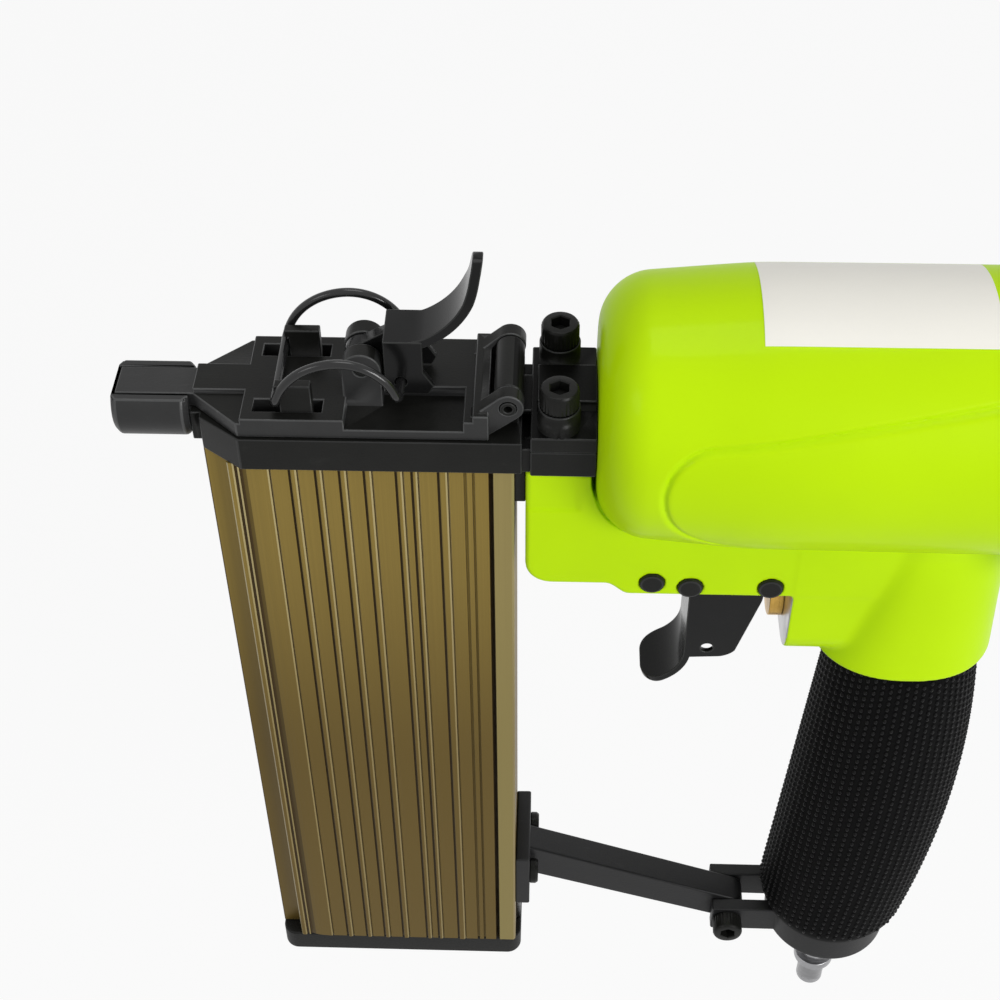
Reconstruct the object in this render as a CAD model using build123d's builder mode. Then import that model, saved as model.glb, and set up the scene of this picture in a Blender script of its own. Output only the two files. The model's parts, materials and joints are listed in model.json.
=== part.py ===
from build123d import *
import math
import os

# A pneumatic brad nailer, in millimetres. +X runs from the nose along the drive axis to the rear cap,
# +Z is up, the magazine and the handle hang down. The origin is where the brad leaves the nose.

# Fits and gaps
fit = 0.05  # on a radius: pins, shafts, screws
gap = 0.3  # between pieces that move past each other
seam = 0.1  # between flat faces that open and close
over = 1.0  # how far a cut runs past a face

# Drive line
blade_half = 0.9
blade_height = 1.6
blade_setback = 1.0
stroke = 78.0
blade_tip = stroke + blade_setback
channel_gap = 0.2
channel_floor = -blade_height / 2 - channel_gap
feed_front = 26.0
feed_half = 0.8
feed_slot = (feed_front, blade_tip)

# Places along the drive line that follow from the stroke
slide_front_wall = 1.5
slide_rear_wall = 5.5
slide_space_x = (feed_front - slide_front_wall, blade_tip + slide_rear_wall)
magazine_rear_wall = 3.9
magazine_rear = slide_space_x[1] + magazine_rear_wall
spacer = 2.5
chin_front = magazine_rear + spacer

# Nose tip
tip_length = 17.0
tip_radius = 8.3
tip_rim = 4.9
tip_chamfer = 1.2
tip_floor = -4.0

# Driver guide
guide_half = 15.0
guide_top = 1.2
guide_bottom = -7.7
guide_start = 19.3
guide_start_half = 8.0
guide_full = 28.7
guide_end_gap = 0.75
guide_end = chin_front - guide_end_gap
neck_half = 6.4
nose_bar_start = 0.6

# Nose door
door_half = 14.2
door_bottom = guide_top + seam
door_top = 6.3
hinge_inset = 1.3
hinge_x = magazine_rear - hinge_inset
door_hinge_gap = 4.1
door_end = hinge_x - door_hinge_gap
door_taper_start = 18.0
door_taper_end = 28.7
door_side_top = 5.0
door_side_end = 29.5
tongue_half = 4.4
tongue_start = 0.8
tongue_top = 5.0
window_x = (32.0, 47.0)
shelf_start = 52.0
shelf_inset = 5.5
shelf_far = -2.5
shelf_top = 3.7
rib_width = 3.5
rib_top = 8.0

# Door hinge
hinge_z = 8.9
hinge_radius = 3.2
hinge_pin_radius = 1.8
hinge_bore = 0.9
barrel_half = 8.4
arm_thickness = 3.7
arm_radius = 3.4
arm_root = 4.0
pedestal = 4.4

# Hooks that hold the latch bail
hook_x = (38.0, 45.0)
hook_y = (8.1, 10.6)
hook_top = 12.6
hook_cap = 1.8
hook_lip = 0.9
window_gap = 0.7

# Latch
latch_x = 55.5
latch_z = 13.5
latch_pin_radius = 1.5
lug_radius = 4.3
lug_y = (2.0, 6.2)
web_half = 1.6
eye_radius = 4.0
strap_x = (60.4, 68.8)
strap_half = 5.75
strap_top = 21.1
strap_sheet = 1.55
strap_bottom = 7.0
strap_flare = 2.2
strap_flare_height = 6.0
tab_sheet = 2.2
tab_lap = 2.5
tab_heel = 7.0
tab_heel_angle = 28.0
tab_bend = 20.0
tab_bend_angle = 52.0
tab_reach = 5.0
tab_half = 5.4
tab_tip_half = 3.6
tab_tip_length = 9.0

# Latch bail
wire_radius = 1.0
bail_x = 63.9
bail_z = 10.3
bail_half = 12.2
bail_end = 3.2
bail_rise = 70.0
bail_corner = 2.2
bail_front = (37.0, 8.4)

# Flange that carries the nose on the body
flange_setback = 1.0
flange_length = 14.4
flange_x = (chin_front + flange_setback, chin_front + flange_setback + flange_length)
flange_proud = 0.5
flange_half = guide_half + flange_proud
flange_joint = -0.8
cover_top = 3.2
cover_block_half = 6.2
cover_block_top = 6.0
cover_block_inset = 1.3
boss_radius = 4.6
boss_top = 9.0
nose_screw_inset = 6.1
nose_screw_x = flange_x[0] + nose_screw_inset
nose_screw_y = 10.9
nose_screw_depth = 14.3
m5_radius = 2.5
m5_head_radius = 4.25
m5_head = 5.0
m5_socket = 4.0
m5_socket_depth = 2.6
m5_clear = 2.75

# Body barrel
body_front = flange_x[1] + seam
body_radius = 31.5
body_front_radius = 28.6
body_front_round = 11.0
body_swell = 33.6
body_swell_round = 60.0
front_wall = 6.0
bore_radius = 27.0
blade_hole = 3.0
seat_depth = 5.6
rear_flange = 10.0
rear_flange_side = 62.0
rear_flange_corner = 14.0
rear_rim = 1.0

# Side panel on the barrel
panel_height = 0.5
panel_inner_y = 18.0
panel_x = body_front + 13.8
panel_upper = ((52.4, 18.6), (22.5, 14.3), (10.6, 12.0), (4.6, 9.7), (2.2, 7.3))
panel_lower = ((2.1, -7.2), (6.3, -13.8), (19.8, -19.5), (47.8, -21.5))
panel_rear_inset = 18.0
panel_rear_z = (21.9, -22.0)

# Chin and trigger flange
chin_half = 15.0
chin_bottom = -42.6
chin_round = 6.0
chin_edge = 1.2
flange_step_x = (body_front + 4.1, body_front + 7.6)
trigger_flange_bottom = -46.0
slot_start = 8.1
slot_x = body_front + slot_start
slot_half = 9.6
slot_ceiling = -34.0
pin_radius = 2.95
pin_proud = 0.7
spring_pin_x = slot_x + 5.7
spring_pin_z = -41.6
trigger_pin_x = slot_x + 14.6
trigger_pin_z = -42.9
stop_pin_x = slot_x + 33.1
stop_pin_z = -42.7

# Valve block and handle
slot_length = 38.5
block_face = slot_x + slot_length
block_bottom = -68.5
block_round = 9.0
handle_setback = 28.6
handle_x = block_face + handle_setback
root_half_x = 22.5
root_half_y = 20.5
root_bottom = -69.0
grip_back = 3.0
grip_x = handle_x + grip_back
foot_forward = 1.4
foot_x = handle_x - foot_forward
core_half_x = 14.5
core_half_y = 14.5
core_bottom = -188.0
core_foot = 13.0
handle_bore_x = 9.5
handle_bore_y = 10.5
handle_bore_top = -15.0

# Grip sleeve
grip_seam = 1.0
grip_top = root_bottom - grip_seam
grip_foot = 0.5
grip_bottom = core_bottom + grip_foot
grip_wall = 3.0
grip_flare = 2.7

# Trigger valve
valve_z = -59.0
valve_radius = 5.4
valve_collar_radius = 6.4
valve_collar = 3.4
valve_length = 23.0
valve_end = block_face + valve_length
stem_radius = 2.0
stem_reach = 7.7
stem_tip = block_face - stem_reach
stem_stop = block_face + 7.0
stem_head_radius = 3.2
stem_head = 2.0
valve_bore = 3.6
valve_plug = 3.0
valve_vent = 1.0
valve_seal_x = block_face + 4.0
valve_seal_radius = 0.9
valve_coil = 2.5
valve_wire = 0.35
valve_turns = 6

# Trigger
trigger_half = 8.0
cheek = 1.5
trigger_boss = 4.6
trigger_front = trigger_pin_x + 0.8
trigger_rear = (
    (trigger_pin_x + 18.9, trigger_pin_z - 7.3),
    (trigger_pin_x + 18.3, trigger_pin_z - 12.3),
    (trigger_pin_x + 13.4, trigger_pin_z - 30.3),
    (trigger_pin_x + 11.6, trigger_pin_z - 32.5),
)
trigger_front_low = trigger_pin_z - 33.2
cheek_hole = (trigger_pin_x + 6.4, trigger_pin_z - 29.4)
cheek_hole_radius = 1.5
front_sheet = 1.8
front_top = trigger_pin_z - 7.6
curl_start = trigger_pin_z - 31.1
curl_radius = 12.0
curl_angle = 75.0
curl_straight = 2.0
curl_corner = 5.5
bridge_sheet = 1.6
bridge_gap = 0.5
bridge_x = stem_tip - bridge_gap - bridge_sheet
bridge_height = 5.0
coil_radius = 4.0
coil_wire = 0.5
coil_turns = 4
coil_pitch = 1.5
coil_overhang = 1.6

# Cylinder, piston and bumper
cylinder_bore = 18.0
cylinder_wall = 2.5
cylinder_proud = 6.0
collar_inset = 3.0
collar_length = 6.0
collar_ports = 8
collar_port_radius = 1.6
piston_length = 15.0
piston_rear_gap = 0.5
piston_clear = 0.08
piston_boss_radius = 6.0
piston_boss = 6.5
ring_width = 3.0
ring_depth = 2.4
ring_inset = 5.0
blade_socket = 12.0
bumper_length = 15.4
bumper_bore = 7.5
bumper_clear = 0.4
bumper_gap = 0.7
cylinder_radius = cylinder_bore + cylinder_wall
cylinder_seal_inset = 2.8
cylinder_seal_radius = 1.0
inner_front = body_front + front_wall
piston_front = inner_front + bumper_length + bumper_gap + stroke
piston_rear = piston_front + piston_length
cylinder_end = piston_rear + piston_rear_gap
body_rear = cylinder_end - cylinder_proud

# Rear cap, head valve and exhaust
gasket = 1.0
cap_flange = 8.0
cap_radius = 28.0
cap_round = 6.0
cap_cavity_radius = 24.0
cap_guide_radius = 12.3
cap_guide_gap = 0.4
cap_wall = 2.6
cap_post_radius = 4.4
cap_post = 7.0
cap_screw_inset = 8.4
cap_screw_offset = rear_flange_side / 2 - cap_screw_inset
cap_screw_depth = 9.0
m5_core = 2.4
exhaust_ports = 6
exhaust_port_radius = 2.0
exhaust_port_ring = 8.6
pad = 1.5
pad_inner = 17.0
valve_disc_radius = 21.0
valve_disc = 3.0
valve_lift = 4.5
valve_boss_radius = 12.0
valve_boss = 9.4
valve_cup_radius = 9.2
head_ring_radius = 1.1
head_ring_inset = 3.0
head_coil = 7.4
head_wire = 0.7
head_turns = 4
deflector_radius = 17.0
deflector_wall = 2.0
deflector_length = 12.0
deflector_hub = 5.5
deflector_slot = 20.0
deflector_chamfer = 1.5
exhaust_screw_radius = 2.7
exhaust_screw_head = 5.0
exhaust_screw_head_height = 2.6
exhaust_screw_depth = 6.0

# Handle end and air plug
end_cap = 12.0
end_cap_edge = 1.6
spigot = 6.0
spigot_gap = 0.2
end_seal_radius = 0.9
end_screw_radius = 1.7
end_screw_head = 3.1
end_screw_head_height = 2.4
end_screw_depth = 11.0
end_screw_inset = 2.5
plug_thread_radius = 6.5
plug_hex = 15.0
plug_hex_height = 8.0
plug_bore = 2.5
plug_collar_radius = 5.9
plug_collar = 8.0
plug_groove_radius = 4.4
plug_groove = 6.0
plug_rim = 3.0
plug_tip_radius = 3.95
plug_tip = 11.0

# Magazine
magazine_front = guide_start
magazine_step = 25.0
magazine_half = 13.0
magazine_lip_near = 8.0
magazine_bottom = -200.0
magazine_near_wall = -0.9
slide_space_far = 9.6
slide_mouth = 4.0
slide_raise = 12.7
rib_lines = (33.5, 39.0, 45.0, 50.7, 56.2, 63.0, 65.0, 72.6, 78.0)
rib_line_width = 0.7
rib_line_depth = 0.45
seam_line_x = 83.2
seam_line_width = 0.9
seam_line_depth = 0.9
cell_y = (-11.0, -3.0)
cells_x = ((30.0, 47.0), (57.0, 71.0))
magazine_screw_x = (52.0, magazine_rear - 12.4)
magazine_screw_y = -7.0
m4_radius = 2.0
m4_head_radius = 3.5
m4_head = 2.4
m4_socket = 2.5
m4_socket_depth = 1.4
magazine_screw_length = 16.0
spacer_bottom = -19.0
spacer_half = 12.0

# Magazine slide, follower and catch
carriage_half = 16.5
carriage_middle = (feed_slot[0] + feed_slot[1]) / 2
carriage_x = (carriage_middle - carriage_half, carriage_middle + carriage_half)
carriage_y = (2.6, 8.6)
throat_half = 4.5
throat_x = (carriage_middle - throat_half, carriage_middle + throat_half)
slide_end_cap = 8.0
slide_end_half = 12.4
slide_end_round = 4.0
slide_screw_x = (slide_space_x[0] + 7.5, slide_space_x[1] - 9.9)
slide_screw_y = 5.6
slide_screw_radius = 1.5
slide_screw_head = 2.8
slide_screw_head_height = 2.0
slide_screw_length = 12.0
follower_top = -8.6
follower_length = 32.0
pusher_clear = 0.35
follower_coil = 2.1
follower_wire = 0.35
follower_turns = 30
catch_sheet = 0.8
catch_gap = 0.4
catch_half = 5.0
catch_top = -186.0
catch_tooth_half = 2.6
catch_tooth = 2.8
catch_tooth_z = -191.4
catch_tooth_depth = 1.2
catch_foot = 12.0

# Bracket between the magazine and the handle
bracket_plate = 4.0
bracket_plate_half = 12.0
bracket_z = (-182.0, -160.0)
bracket_half = 4.0
bracket_arm = 11.0
bracket_screw_y = 8.0
bracket_screw_length = 6.6
lug_gap = 0.2
lug_thickness = 3.8
lug_reach = 35.6
lug_front = handle_x - lug_reach
bolt_x = lug_front + 4.5
lug_inset = 1.0


def level(z):
    return Plane.XY.offset(z)


def across(y):
    return Plane.XZ.offset(-y)


def along(x):
    return Plane.YZ.offset(x)


# A rectangle in a level sketch, given as spans along X and Y
def pane(x, y, mode=Mode.ADD):
    with Locations(((x[0] + x[1]) / 2, (y[0] + y[1]) / 2)):
        Rectangle(x[1] - x[0], y[1] - y[0], mode=mode)


# A block between two corners, given as spans along X, Y and Z
def block(x, y, z, mode=Mode.ADD):
    with Locations(((x[0] + x[1]) / 2, (y[0] + y[1]) / 2, (z[0] + z[1]) / 2)):
        Box(x[1] - x[0], y[1] - y[0], z[1] - z[0], mode=mode)


def rod_x(span, radius, y=0.0, z=0.0, mode=Mode.ADD):
    with Locations(Location((span[0], y, z), (0, 90, 0))):
        Cylinder(radius, span[1] - span[0], align=(Align.CENTER, Align.CENTER, Align.MIN), mode=mode)


def rod_y(span, radius, x=0.0, z=0.0, mode=Mode.ADD):
    with Locations(Location((x, span[0], z), (-90, 0, 0))):
        Cylinder(radius, span[1] - span[0], align=(Align.CENTER, Align.CENTER, Align.MIN), mode=mode)


def rod_z(span, radius, x=0.0, y=0.0, mode=Mode.ADD):
    with Locations((x, y, span[0])):
        Cylinder(radius, span[1] - span[0], align=(Align.CENTER, Align.CENTER, Align.MIN), mode=mode)


# A span on the near side, -Y, or the far side, +Y
def on_side(side, span):
    return tuple(sorted((side * span[0], side * span[1])))


# A span drawn in at both ends
def inset(span, by):
    return (span[0] + by, span[1] - by)


def centre_of(span):
    return (span[0] + span[1]) / 2


# A socket head screw: its shank runs back from the plane, its head stands on it
def socket_screw(plane, shank_radius, shank, head_radius, head, socket, socket_depth):
    with BuildPart(plane) as screw:
        Cylinder(shank_radius, shank, align=(Align.CENTER, Align.CENTER, Align.MAX))
        Cylinder(head_radius, head, align=(Align.CENTER, Align.CENTER, Align.MIN))
        with BuildSketch(plane.offset(head)):
            RegularPolygon(socket / 2, 6, major_radius=False)
        extrude(amount=-socket_depth, mode=Mode.SUBTRACT)
    return screw.part


# Points of a coil about a plane's normal, from its start angle, a few to each turn
def coil_points(plane, radius, pitch, turns, steps):
    points = []
    for step in range(int(turns * steps) + 1):
        angle = 2 * math.pi * step / steps
        local = Vector(radius * math.cos(angle), radius * math.sin(angle), pitch * step / steps)
        points.append(plane.from_local_coords(local))
    return points


def coil_tangent(plane, radius, pitch, angle):
    slope = pitch / (2 * math.pi)
    local = Vector(-radius * math.sin(angle), radius * math.cos(angle), slope)
    return (plane.x_dir * local.X + plane.y_dir * local.Y + plane.z_dir * local.Z).normalized()


# The point where two equal tangent arcs between two ends meet
def biarc_joint(start, start_tangent, end, end_tangent):
    chord = end - start
    both = start_tangent + end_tangent
    turn = 2 * (1 - start_tangent.dot(end_tangent))
    run = chord.dot(both)
    reach = (-run + math.sqrt(run * run + turn * chord.dot(chord))) / turn
    joint = (start + start_tangent * reach + end - end_tangent * reach) * 0.5
    return joint, (end - end_tangent * reach - start - start_tangent * reach).normalized()


# One unbroken tube wound about a plane's normal, with straight ends of the given lengths
def coil_spring(name, plane, radius, wire, pitch, turns, lead=None, tail=None):
    quarter = math.pi / 2
    points = coil_points(plane, radius, pitch, turns, 4)
    tangents = [coil_tangent(plane, radius, pitch, quarter * step) for step in range(len(points))]
    lead = lead or 2 * wire
    tail = tail or 2 * wire
    with BuildPart() as spring:
        with BuildLine() as path:
            Line(points[0] - tangents[0] * lead, points[0])
            for step in range(len(points) - 1):
                start, end = points[step], points[step + 1]
                joint, joint_tangent = biarc_joint(start, tangents[step], end, tangents[step + 1])
                TangentArc(start, joint, tangent=tangents[step])
                TangentArc(joint, end, tangent=joint_tangent)
            Line(points[-1], points[-1] + tangents[-1] * tail)
        with BuildSketch(Plane(origin=path.line @ 0, z_dir=path.line % 0)):
            Circle(wire)
        sweep()
    print(name, "least gap between turns", round(least_gap(plane, radius, wire, pitch, turns), 2))
    return spring.part


# The least gap between a coil's turns, measured on points more than half a turn apart
def least_gap(plane, radius, wire, pitch, turns):
    steps = 16
    points = coil_points(plane, radius, pitch, turns, steps)
    apart = [
        (points[first] - points[second]).length
        for first in range(len(points))
        for second in range(first + steps // 2, min(len(points), first + 2 * steps))
    ]
    return min(apart) - 2 * wire


def save(piece, name):
    piece.label = name
    export_step(piece, "parts/" + name + ".step")


os.makedirs("parts", exist_ok=True)

# Nose tip: a round cradle, open at the top, that holds the guide's nose bar and the door's tongue
tip_slot_half = tongue_half + gap

with BuildPart() as nose_tip:
    rod_x((0, tip_length), tip_radius)
    chamfer(nose_tip.edges().filter_by(GeomType.CIRCLE), tip_chamfer)
    block(
        (-over, tip_length + over),
        (-tip_radius, tip_radius),
        (tip_rim, tip_radius + over),
        Mode.SUBTRACT,
    )
    block(
        (-over, tip_length + over),
        (-tip_slot_half, tip_slot_half),
        (tip_floor, tip_radius + over),
        Mode.SUBTRACT,
    )

save(nose_tip.part, "nose_tip")

# Driver guide: the steel base of the nose, with the drive channel, the feed slot, hooks and hinge barrel
channel_half = blade_half + channel_gap
hinge_hole = hinge_pin_radius + fit

with BuildPart() as driver_guide:
    with BuildSketch(level(guide_bottom)):
        with BuildLine():
            Polyline(
                (guide_start, -guide_start_half),
                (guide_full, -guide_half),
                (guide_end, -guide_half),
                (guide_end, guide_half),
                (guide_full, guide_half),
                (guide_start, guide_start_half),
                close=True,
            )
        make_face()
    extrude(amount=guide_top - guide_bottom)
    block((tip_length, guide_start + over), (-neck_half, neck_half), (guide_bottom + over, guide_top))
    block((nose_bar_start, tip_length + over), (-tip_slot_half, tip_slot_half), (tip_floor, guide_top))
    block(
        (guide_end - over, flange_x[0] + over),
        (-nose_screw_y, nose_screw_y),
        (guide_bottom, flange_joint),
    )
    block(flange_x, (-flange_half, flange_half), (guide_bottom, flange_joint))
    for side in (-1, 1):
        block(hook_x, on_side(side, hook_y), (guide_top - over, hook_top))
        block((hook_x[0] - hook_lip, hook_x[1]), on_side(side, hook_y), (hook_top - hook_cap, hook_top))
    block(
        (hinge_x - pedestal / 2, hinge_x + pedestal / 2),
        (-barrel_half, barrel_half),
        (guide_top - over, hinge_z),
    )
    rod_y((-barrel_half, barrel_half), hinge_radius, hinge_x, hinge_z)
    rod_y((-guide_half, guide_half), hinge_hole, hinge_x, hinge_z, Mode.SUBTRACT)
    block(
        (-over, flange_x[1] + over),
        (-channel_half, channel_half),
        (channel_floor, guide_top + over),
        Mode.SUBTRACT,
    )
    block(feed_slot, (-feed_half, feed_half), (guide_bottom - over, guide_top), Mode.SUBTRACT)
    for side in (-1, 1):
        rod_z((guide_bottom - over, over), m5_clear, nose_screw_x, side * nose_screw_y, Mode.SUBTRACT)
    for x in magazine_screw_x:
        rod_z((guide_bottom - over, guide_top + over), m4_radius + fit, x, magazine_screw_y, Mode.SUBTRACT)
        rod_z(
            (guide_top - m4_head, guide_top + over),
            m4_head_radius + gap,
            x,
            magazine_screw_y,
            Mode.SUBTRACT,
        )

save(driver_guide.part, "driver_guide")

# Guide cover: the upper flange plate, with tall bosses under the two nose screws
with BuildPart() as guide_cover:
    block(flange_x, (-flange_half, flange_half), (flange_joint, cover_top))
    block(
        (flange_x[0] + cover_block_inset, flange_x[1]),
        (-cover_block_half, cover_block_half),
        (cover_top - over, cover_block_top),
    )
    for side in (-1, 1):
        rod_z((cover_top - over, boss_top), boss_radius, nose_screw_x, side * nose_screw_y)
    for side in (-1, 1):
        rod_z(
            (flange_joint - over, boss_top + over),
            m5_clear,
            nose_screw_x,
            side * nose_screw_y,
            Mode.SUBTRACT,
        )
    block(
        (flange_x[0] - over, flange_x[1] + over),
        (-channel_half, channel_half),
        (flange_joint - over, door_bottom),
        Mode.SUBTRACT,
    )

save(guide_cover.part, "guide_cover")

# Two screws hold the nose down on the body's shelf
nose_screw_length = boss_top - guide_bottom + nose_screw_depth
with BuildPart() as nose_screws:
    for side in (-1, 1):
        seat = Plane(origin=(nose_screw_x, side * nose_screw_y, boss_top))
        screw = socket_screw(
            seat, m5_radius, nose_screw_length, m5_head_radius, m5_head, m5_socket, m5_socket_depth
        )
        add(screw)

save(nose_screws.part, "nose_screws")

# Hinge pin: a roll pin, hollow along its length
arm_y = (barrel_half + gap, barrel_half + gap + arm_thickness)
with BuildPart() as hinge_pin:
    rod_y((-arm_y[1] - gap, arm_y[1] + gap), hinge_pin_radius, hinge_x, hinge_z)
    rod_y((-guide_half, guide_half), hinge_bore, hinge_x, hinge_z, Mode.SUBTRACT)

save(hinge_pin.part, "hinge_pin")

# Nose door: covers the drive channel, swings up about the hinge pin to clear a jam
window_y = (hook_y[0] - window_gap, hook_y[1] + window_gap)

with BuildPart() as nose_door:
    with BuildSketch(level(door_bottom)):
        with BuildLine():
            Polyline(
                (door_taper_start, -tongue_half),
                (door_taper_end, -door_half),
                (door_end, -door_half),
                (door_end, door_half),
                (door_taper_end, door_half),
                (door_taper_start, tongue_half),
                close=True,
            )
        make_face()
    extrude(amount=door_top - door_bottom)
    for side in (-1, 1):
        block(
            (door_taper_start - over, door_side_end),
            on_side(side, (tongue_half, door_half + over)),
            (door_side_top, door_top + over),
            Mode.SUBTRACT,
        )
        block(window_x, on_side(side, window_y), (door_bottom - over, door_top + over), Mode.SUBTRACT)
    block((tongue_start, door_taper_start + over), (-tongue_half, tongue_half), (door_bottom, tongue_top))
    block(
        (shelf_start, door_end - shelf_inset),
        (-door_half - over, shelf_far),
        (shelf_top, door_top + over),
        Mode.SUBTRACT,
    )
    block((door_end - rib_width, door_end), (-door_half, door_half), (door_top - over, rib_top))
    for side in (-1, 1):
        with BuildSketch(across(max(on_side(side, lug_y)))):
            with Locations((latch_x, latch_z)):
                Circle(lug_radius)
            with Locations((latch_x, (latch_z + shelf_top) / 2)):
                Rectangle(2 * lug_radius, latch_z - shelf_top)
        extrude(amount=lug_y[1] - lug_y[0])
        with BuildSketch(across(max(on_side(side, arm_y)))):
            with Locations((hinge_x, hinge_z)):
                Circle(arm_radius)
            with Locations((door_end - arm_root / 2, (door_bottom + door_top) / 2)):
                Rectangle(arm_root, door_top - door_bottom)
            make_hull()
        extrude(amount=arm_thickness)
    rod_y((-guide_half, guide_half), hinge_hole, hinge_x, hinge_z, Mode.SUBTRACT)
    rod_y((-guide_half, guide_half), latch_pin_radius + fit, latch_x, latch_z, Mode.SUBTRACT)

save(nose_door.part, "nose_door")

with BuildPart() as latch_pin:
    rod_y((-lug_y[1], lug_y[1]), latch_pin_radius, latch_x, latch_z)

save(latch_pin.part, "latch_pin")

# Latch lever: an inverted U strap on a central eye, with a thumb tab that bends up
tab_z = strap_top - tab_sheet / 2
with BuildPart() as thumb_tab:
    with BuildSketch(across(tab_half)):
        with BuildLine():
            foot = Line((strap_x[1] - 2 * tab_lap, tab_z), (strap_x[1] - tab_lap, tab_z))
            heel = JernArc(foot @ 1, (1, 0), tab_heel, tab_heel_angle)
            bend = JernArc(heel @ 1, heel % 1, tab_bend, tab_bend_angle)
            tab_end = PolarLine(bend @ 1, tab_reach, tab_heel_angle + tab_bend_angle)
        trace(line_width=tab_sheet)
    extrude(amount=2 * tab_half)
    tab_tip_z = (tab_end @ 1).Y
    with BuildSketch(along(strap_x[0])):
        with BuildLine():
            tip_low = tab_tip_z - tab_tip_length
            Line((-tab_half, strap_bottom), (tab_half, strap_bottom))
            Line((tab_half, strap_bottom), (tab_half, tip_low))
            right = Line((tab_half, tip_low), (tab_tip_half, tab_tip_z - tab_tip_half))
            ThreePointArc(right @ 1, (0, tab_tip_z), (-tab_tip_half, tab_tip_z - tab_tip_half))
            Line((-tab_tip_half, tab_tip_z - tab_tip_half), (-tab_half, tip_low))
            Line((-tab_half, tip_low), (-tab_half, strap_bottom))
        make_face()
    extrude(amount=2 * tab_bend, mode=Mode.INTERSECT)

with BuildPart() as latch_lever:
    block(strap_x, (-strap_half, strap_half), (strap_top - strap_sheet, strap_top))
    for side in (-1, 1):
        flange_y = on_side(side, (strap_half - strap_sheet, strap_half))
        with BuildSketch(across(flange_y[1])):
            with BuildLine():
                Polyline(
                    (strap_x[0], strap_top - strap_sheet / 2),
                    (strap_x[1], strap_top - strap_sheet / 2),
                    (strap_x[1], strap_bottom + strap_flare_height),
                    (strap_x[1] + strap_flare, strap_bottom + strap_flare),
                    (strap_x[1] + strap_flare / 2, strap_bottom),
                    (strap_x[0], strap_bottom),
                    close=True,
                )
            make_face()
        extrude(amount=strap_sheet)
    with BuildSketch(across(web_half)):
        with Locations((latch_x, latch_z)):
            Circle(eye_radius)
        with BuildLine():
            Polyline(
                (latch_x, latch_z - eye_radius),
                (strap_x[0] + eye_radius, latch_z - eye_radius),
                (strap_x[0] + eye_radius, strap_top - strap_sheet / 2),
                (strap_x[0], strap_top - strap_sheet / 2),
                (latch_x, latch_z + eye_radius),
                close=True,
            )
        make_face()
    extrude(amount=2 * web_half)
    add(thumb_tab.part)
    rod_y((-strap_half, strap_half), latch_pin_radius + fit, latch_x, latch_z, Mode.SUBTRACT)
    for side in (-1, 1):
        rod_y(
            on_side(side, (bail_end, strap_half + over)),
            wire_radius + gap,
            bail_x,
            bail_z,
            Mode.SUBTRACT,
        )

save(latch_lever.part, "latch_lever")

# Latch bail: one arched spring wire from the lever, round the hooks and back, through rounded corners
def bail_arm(side):
    y = side * bail_half
    rear_up = Vector(-math.cos(math.radians(bail_rise)), 0, math.sin(math.radians(bail_rise)))
    front_up = Vector(math.cos(math.radians(bail_rise)), 0, math.sin(math.radians(bail_rise)))
    rear_corner = Vector(bail_x, y, bail_z)
    front_corner = Vector(bail_front[0], y, bail_front[1])
    inward = Vector(0, -side, 0)
    return {
        "rear_end": Vector(bail_x, side * bail_end, bail_z),
        "rear_in": rear_corner + inward * bail_corner,
        "rear_out": rear_corner + rear_up * bail_corner,
        "front_out": front_corner + front_up * bail_corner,
        "front_in": front_corner + inward * bail_corner,
        "outward": Vector(0, side, 0),
        "rear_up": rear_up,
        "front_up": front_up,
    }


near_arm = bail_arm(-1)
far_arm = bail_arm(1)
near_joint, near_middle = biarc_joint(
    near_arm["rear_out"], near_arm["rear_up"], near_arm["front_out"], -near_arm["front_up"]
)
far_joint, far_middle = biarc_joint(
    far_arm["front_out"], far_arm["front_up"], far_arm["rear_out"], -far_arm["rear_up"]
)

with BuildPart() as latch_bail:
    with BuildLine() as bail_path:
        Line(near_arm["rear_end"], near_arm["rear_in"])
        TangentArc(near_arm["rear_in"], near_arm["rear_out"], tangent=near_arm["outward"])
        TangentArc(near_arm["rear_out"], near_joint, tangent=near_arm["rear_up"])
        TangentArc(near_joint, near_arm["front_out"], tangent=near_middle)
        TangentArc(near_arm["front_out"], near_arm["front_in"], tangent=-near_arm["front_up"])
        Line(near_arm["front_in"], far_arm["front_in"])
        TangentArc(far_arm["front_in"], far_arm["front_out"], tangent=far_arm["outward"])
        TangentArc(far_arm["front_out"], far_joint, tangent=far_arm["front_up"])
        TangentArc(far_joint, far_arm["rear_out"], tangent=far_middle)
        TangentArc(far_arm["rear_out"], far_arm["rear_in"], tangent=-far_arm["rear_up"])
        Line(far_arm["rear_in"], far_arm["rear_end"])
    with BuildSketch(Plane(origin=bail_path.line @ 0, z_dir=bail_path.line % 0)):
        Circle(wire_radius)
    sweep()

save(latch_bail.part, "latch_bail")

# Side panel: a leaf shape that stands a little proud of the barrel
def barrel_profile(grow):
    with BuildSketch(Plane.XZ) as profile:
        with BuildLine():
            FilletPolyline(
                (body_front - grow, 0),
                (body_front - grow, body_front_radius + grow),
                (body_front + body_swell, body_radius + grow),
                (body_rear, body_radius + grow),
                (body_rear, 0),
                radius=(body_front_round + grow, body_swell_round, rear_rim),
            )
            Line((body_rear, 0), (body_front - grow, 0))
        make_face()
    return profile.sketch


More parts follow.
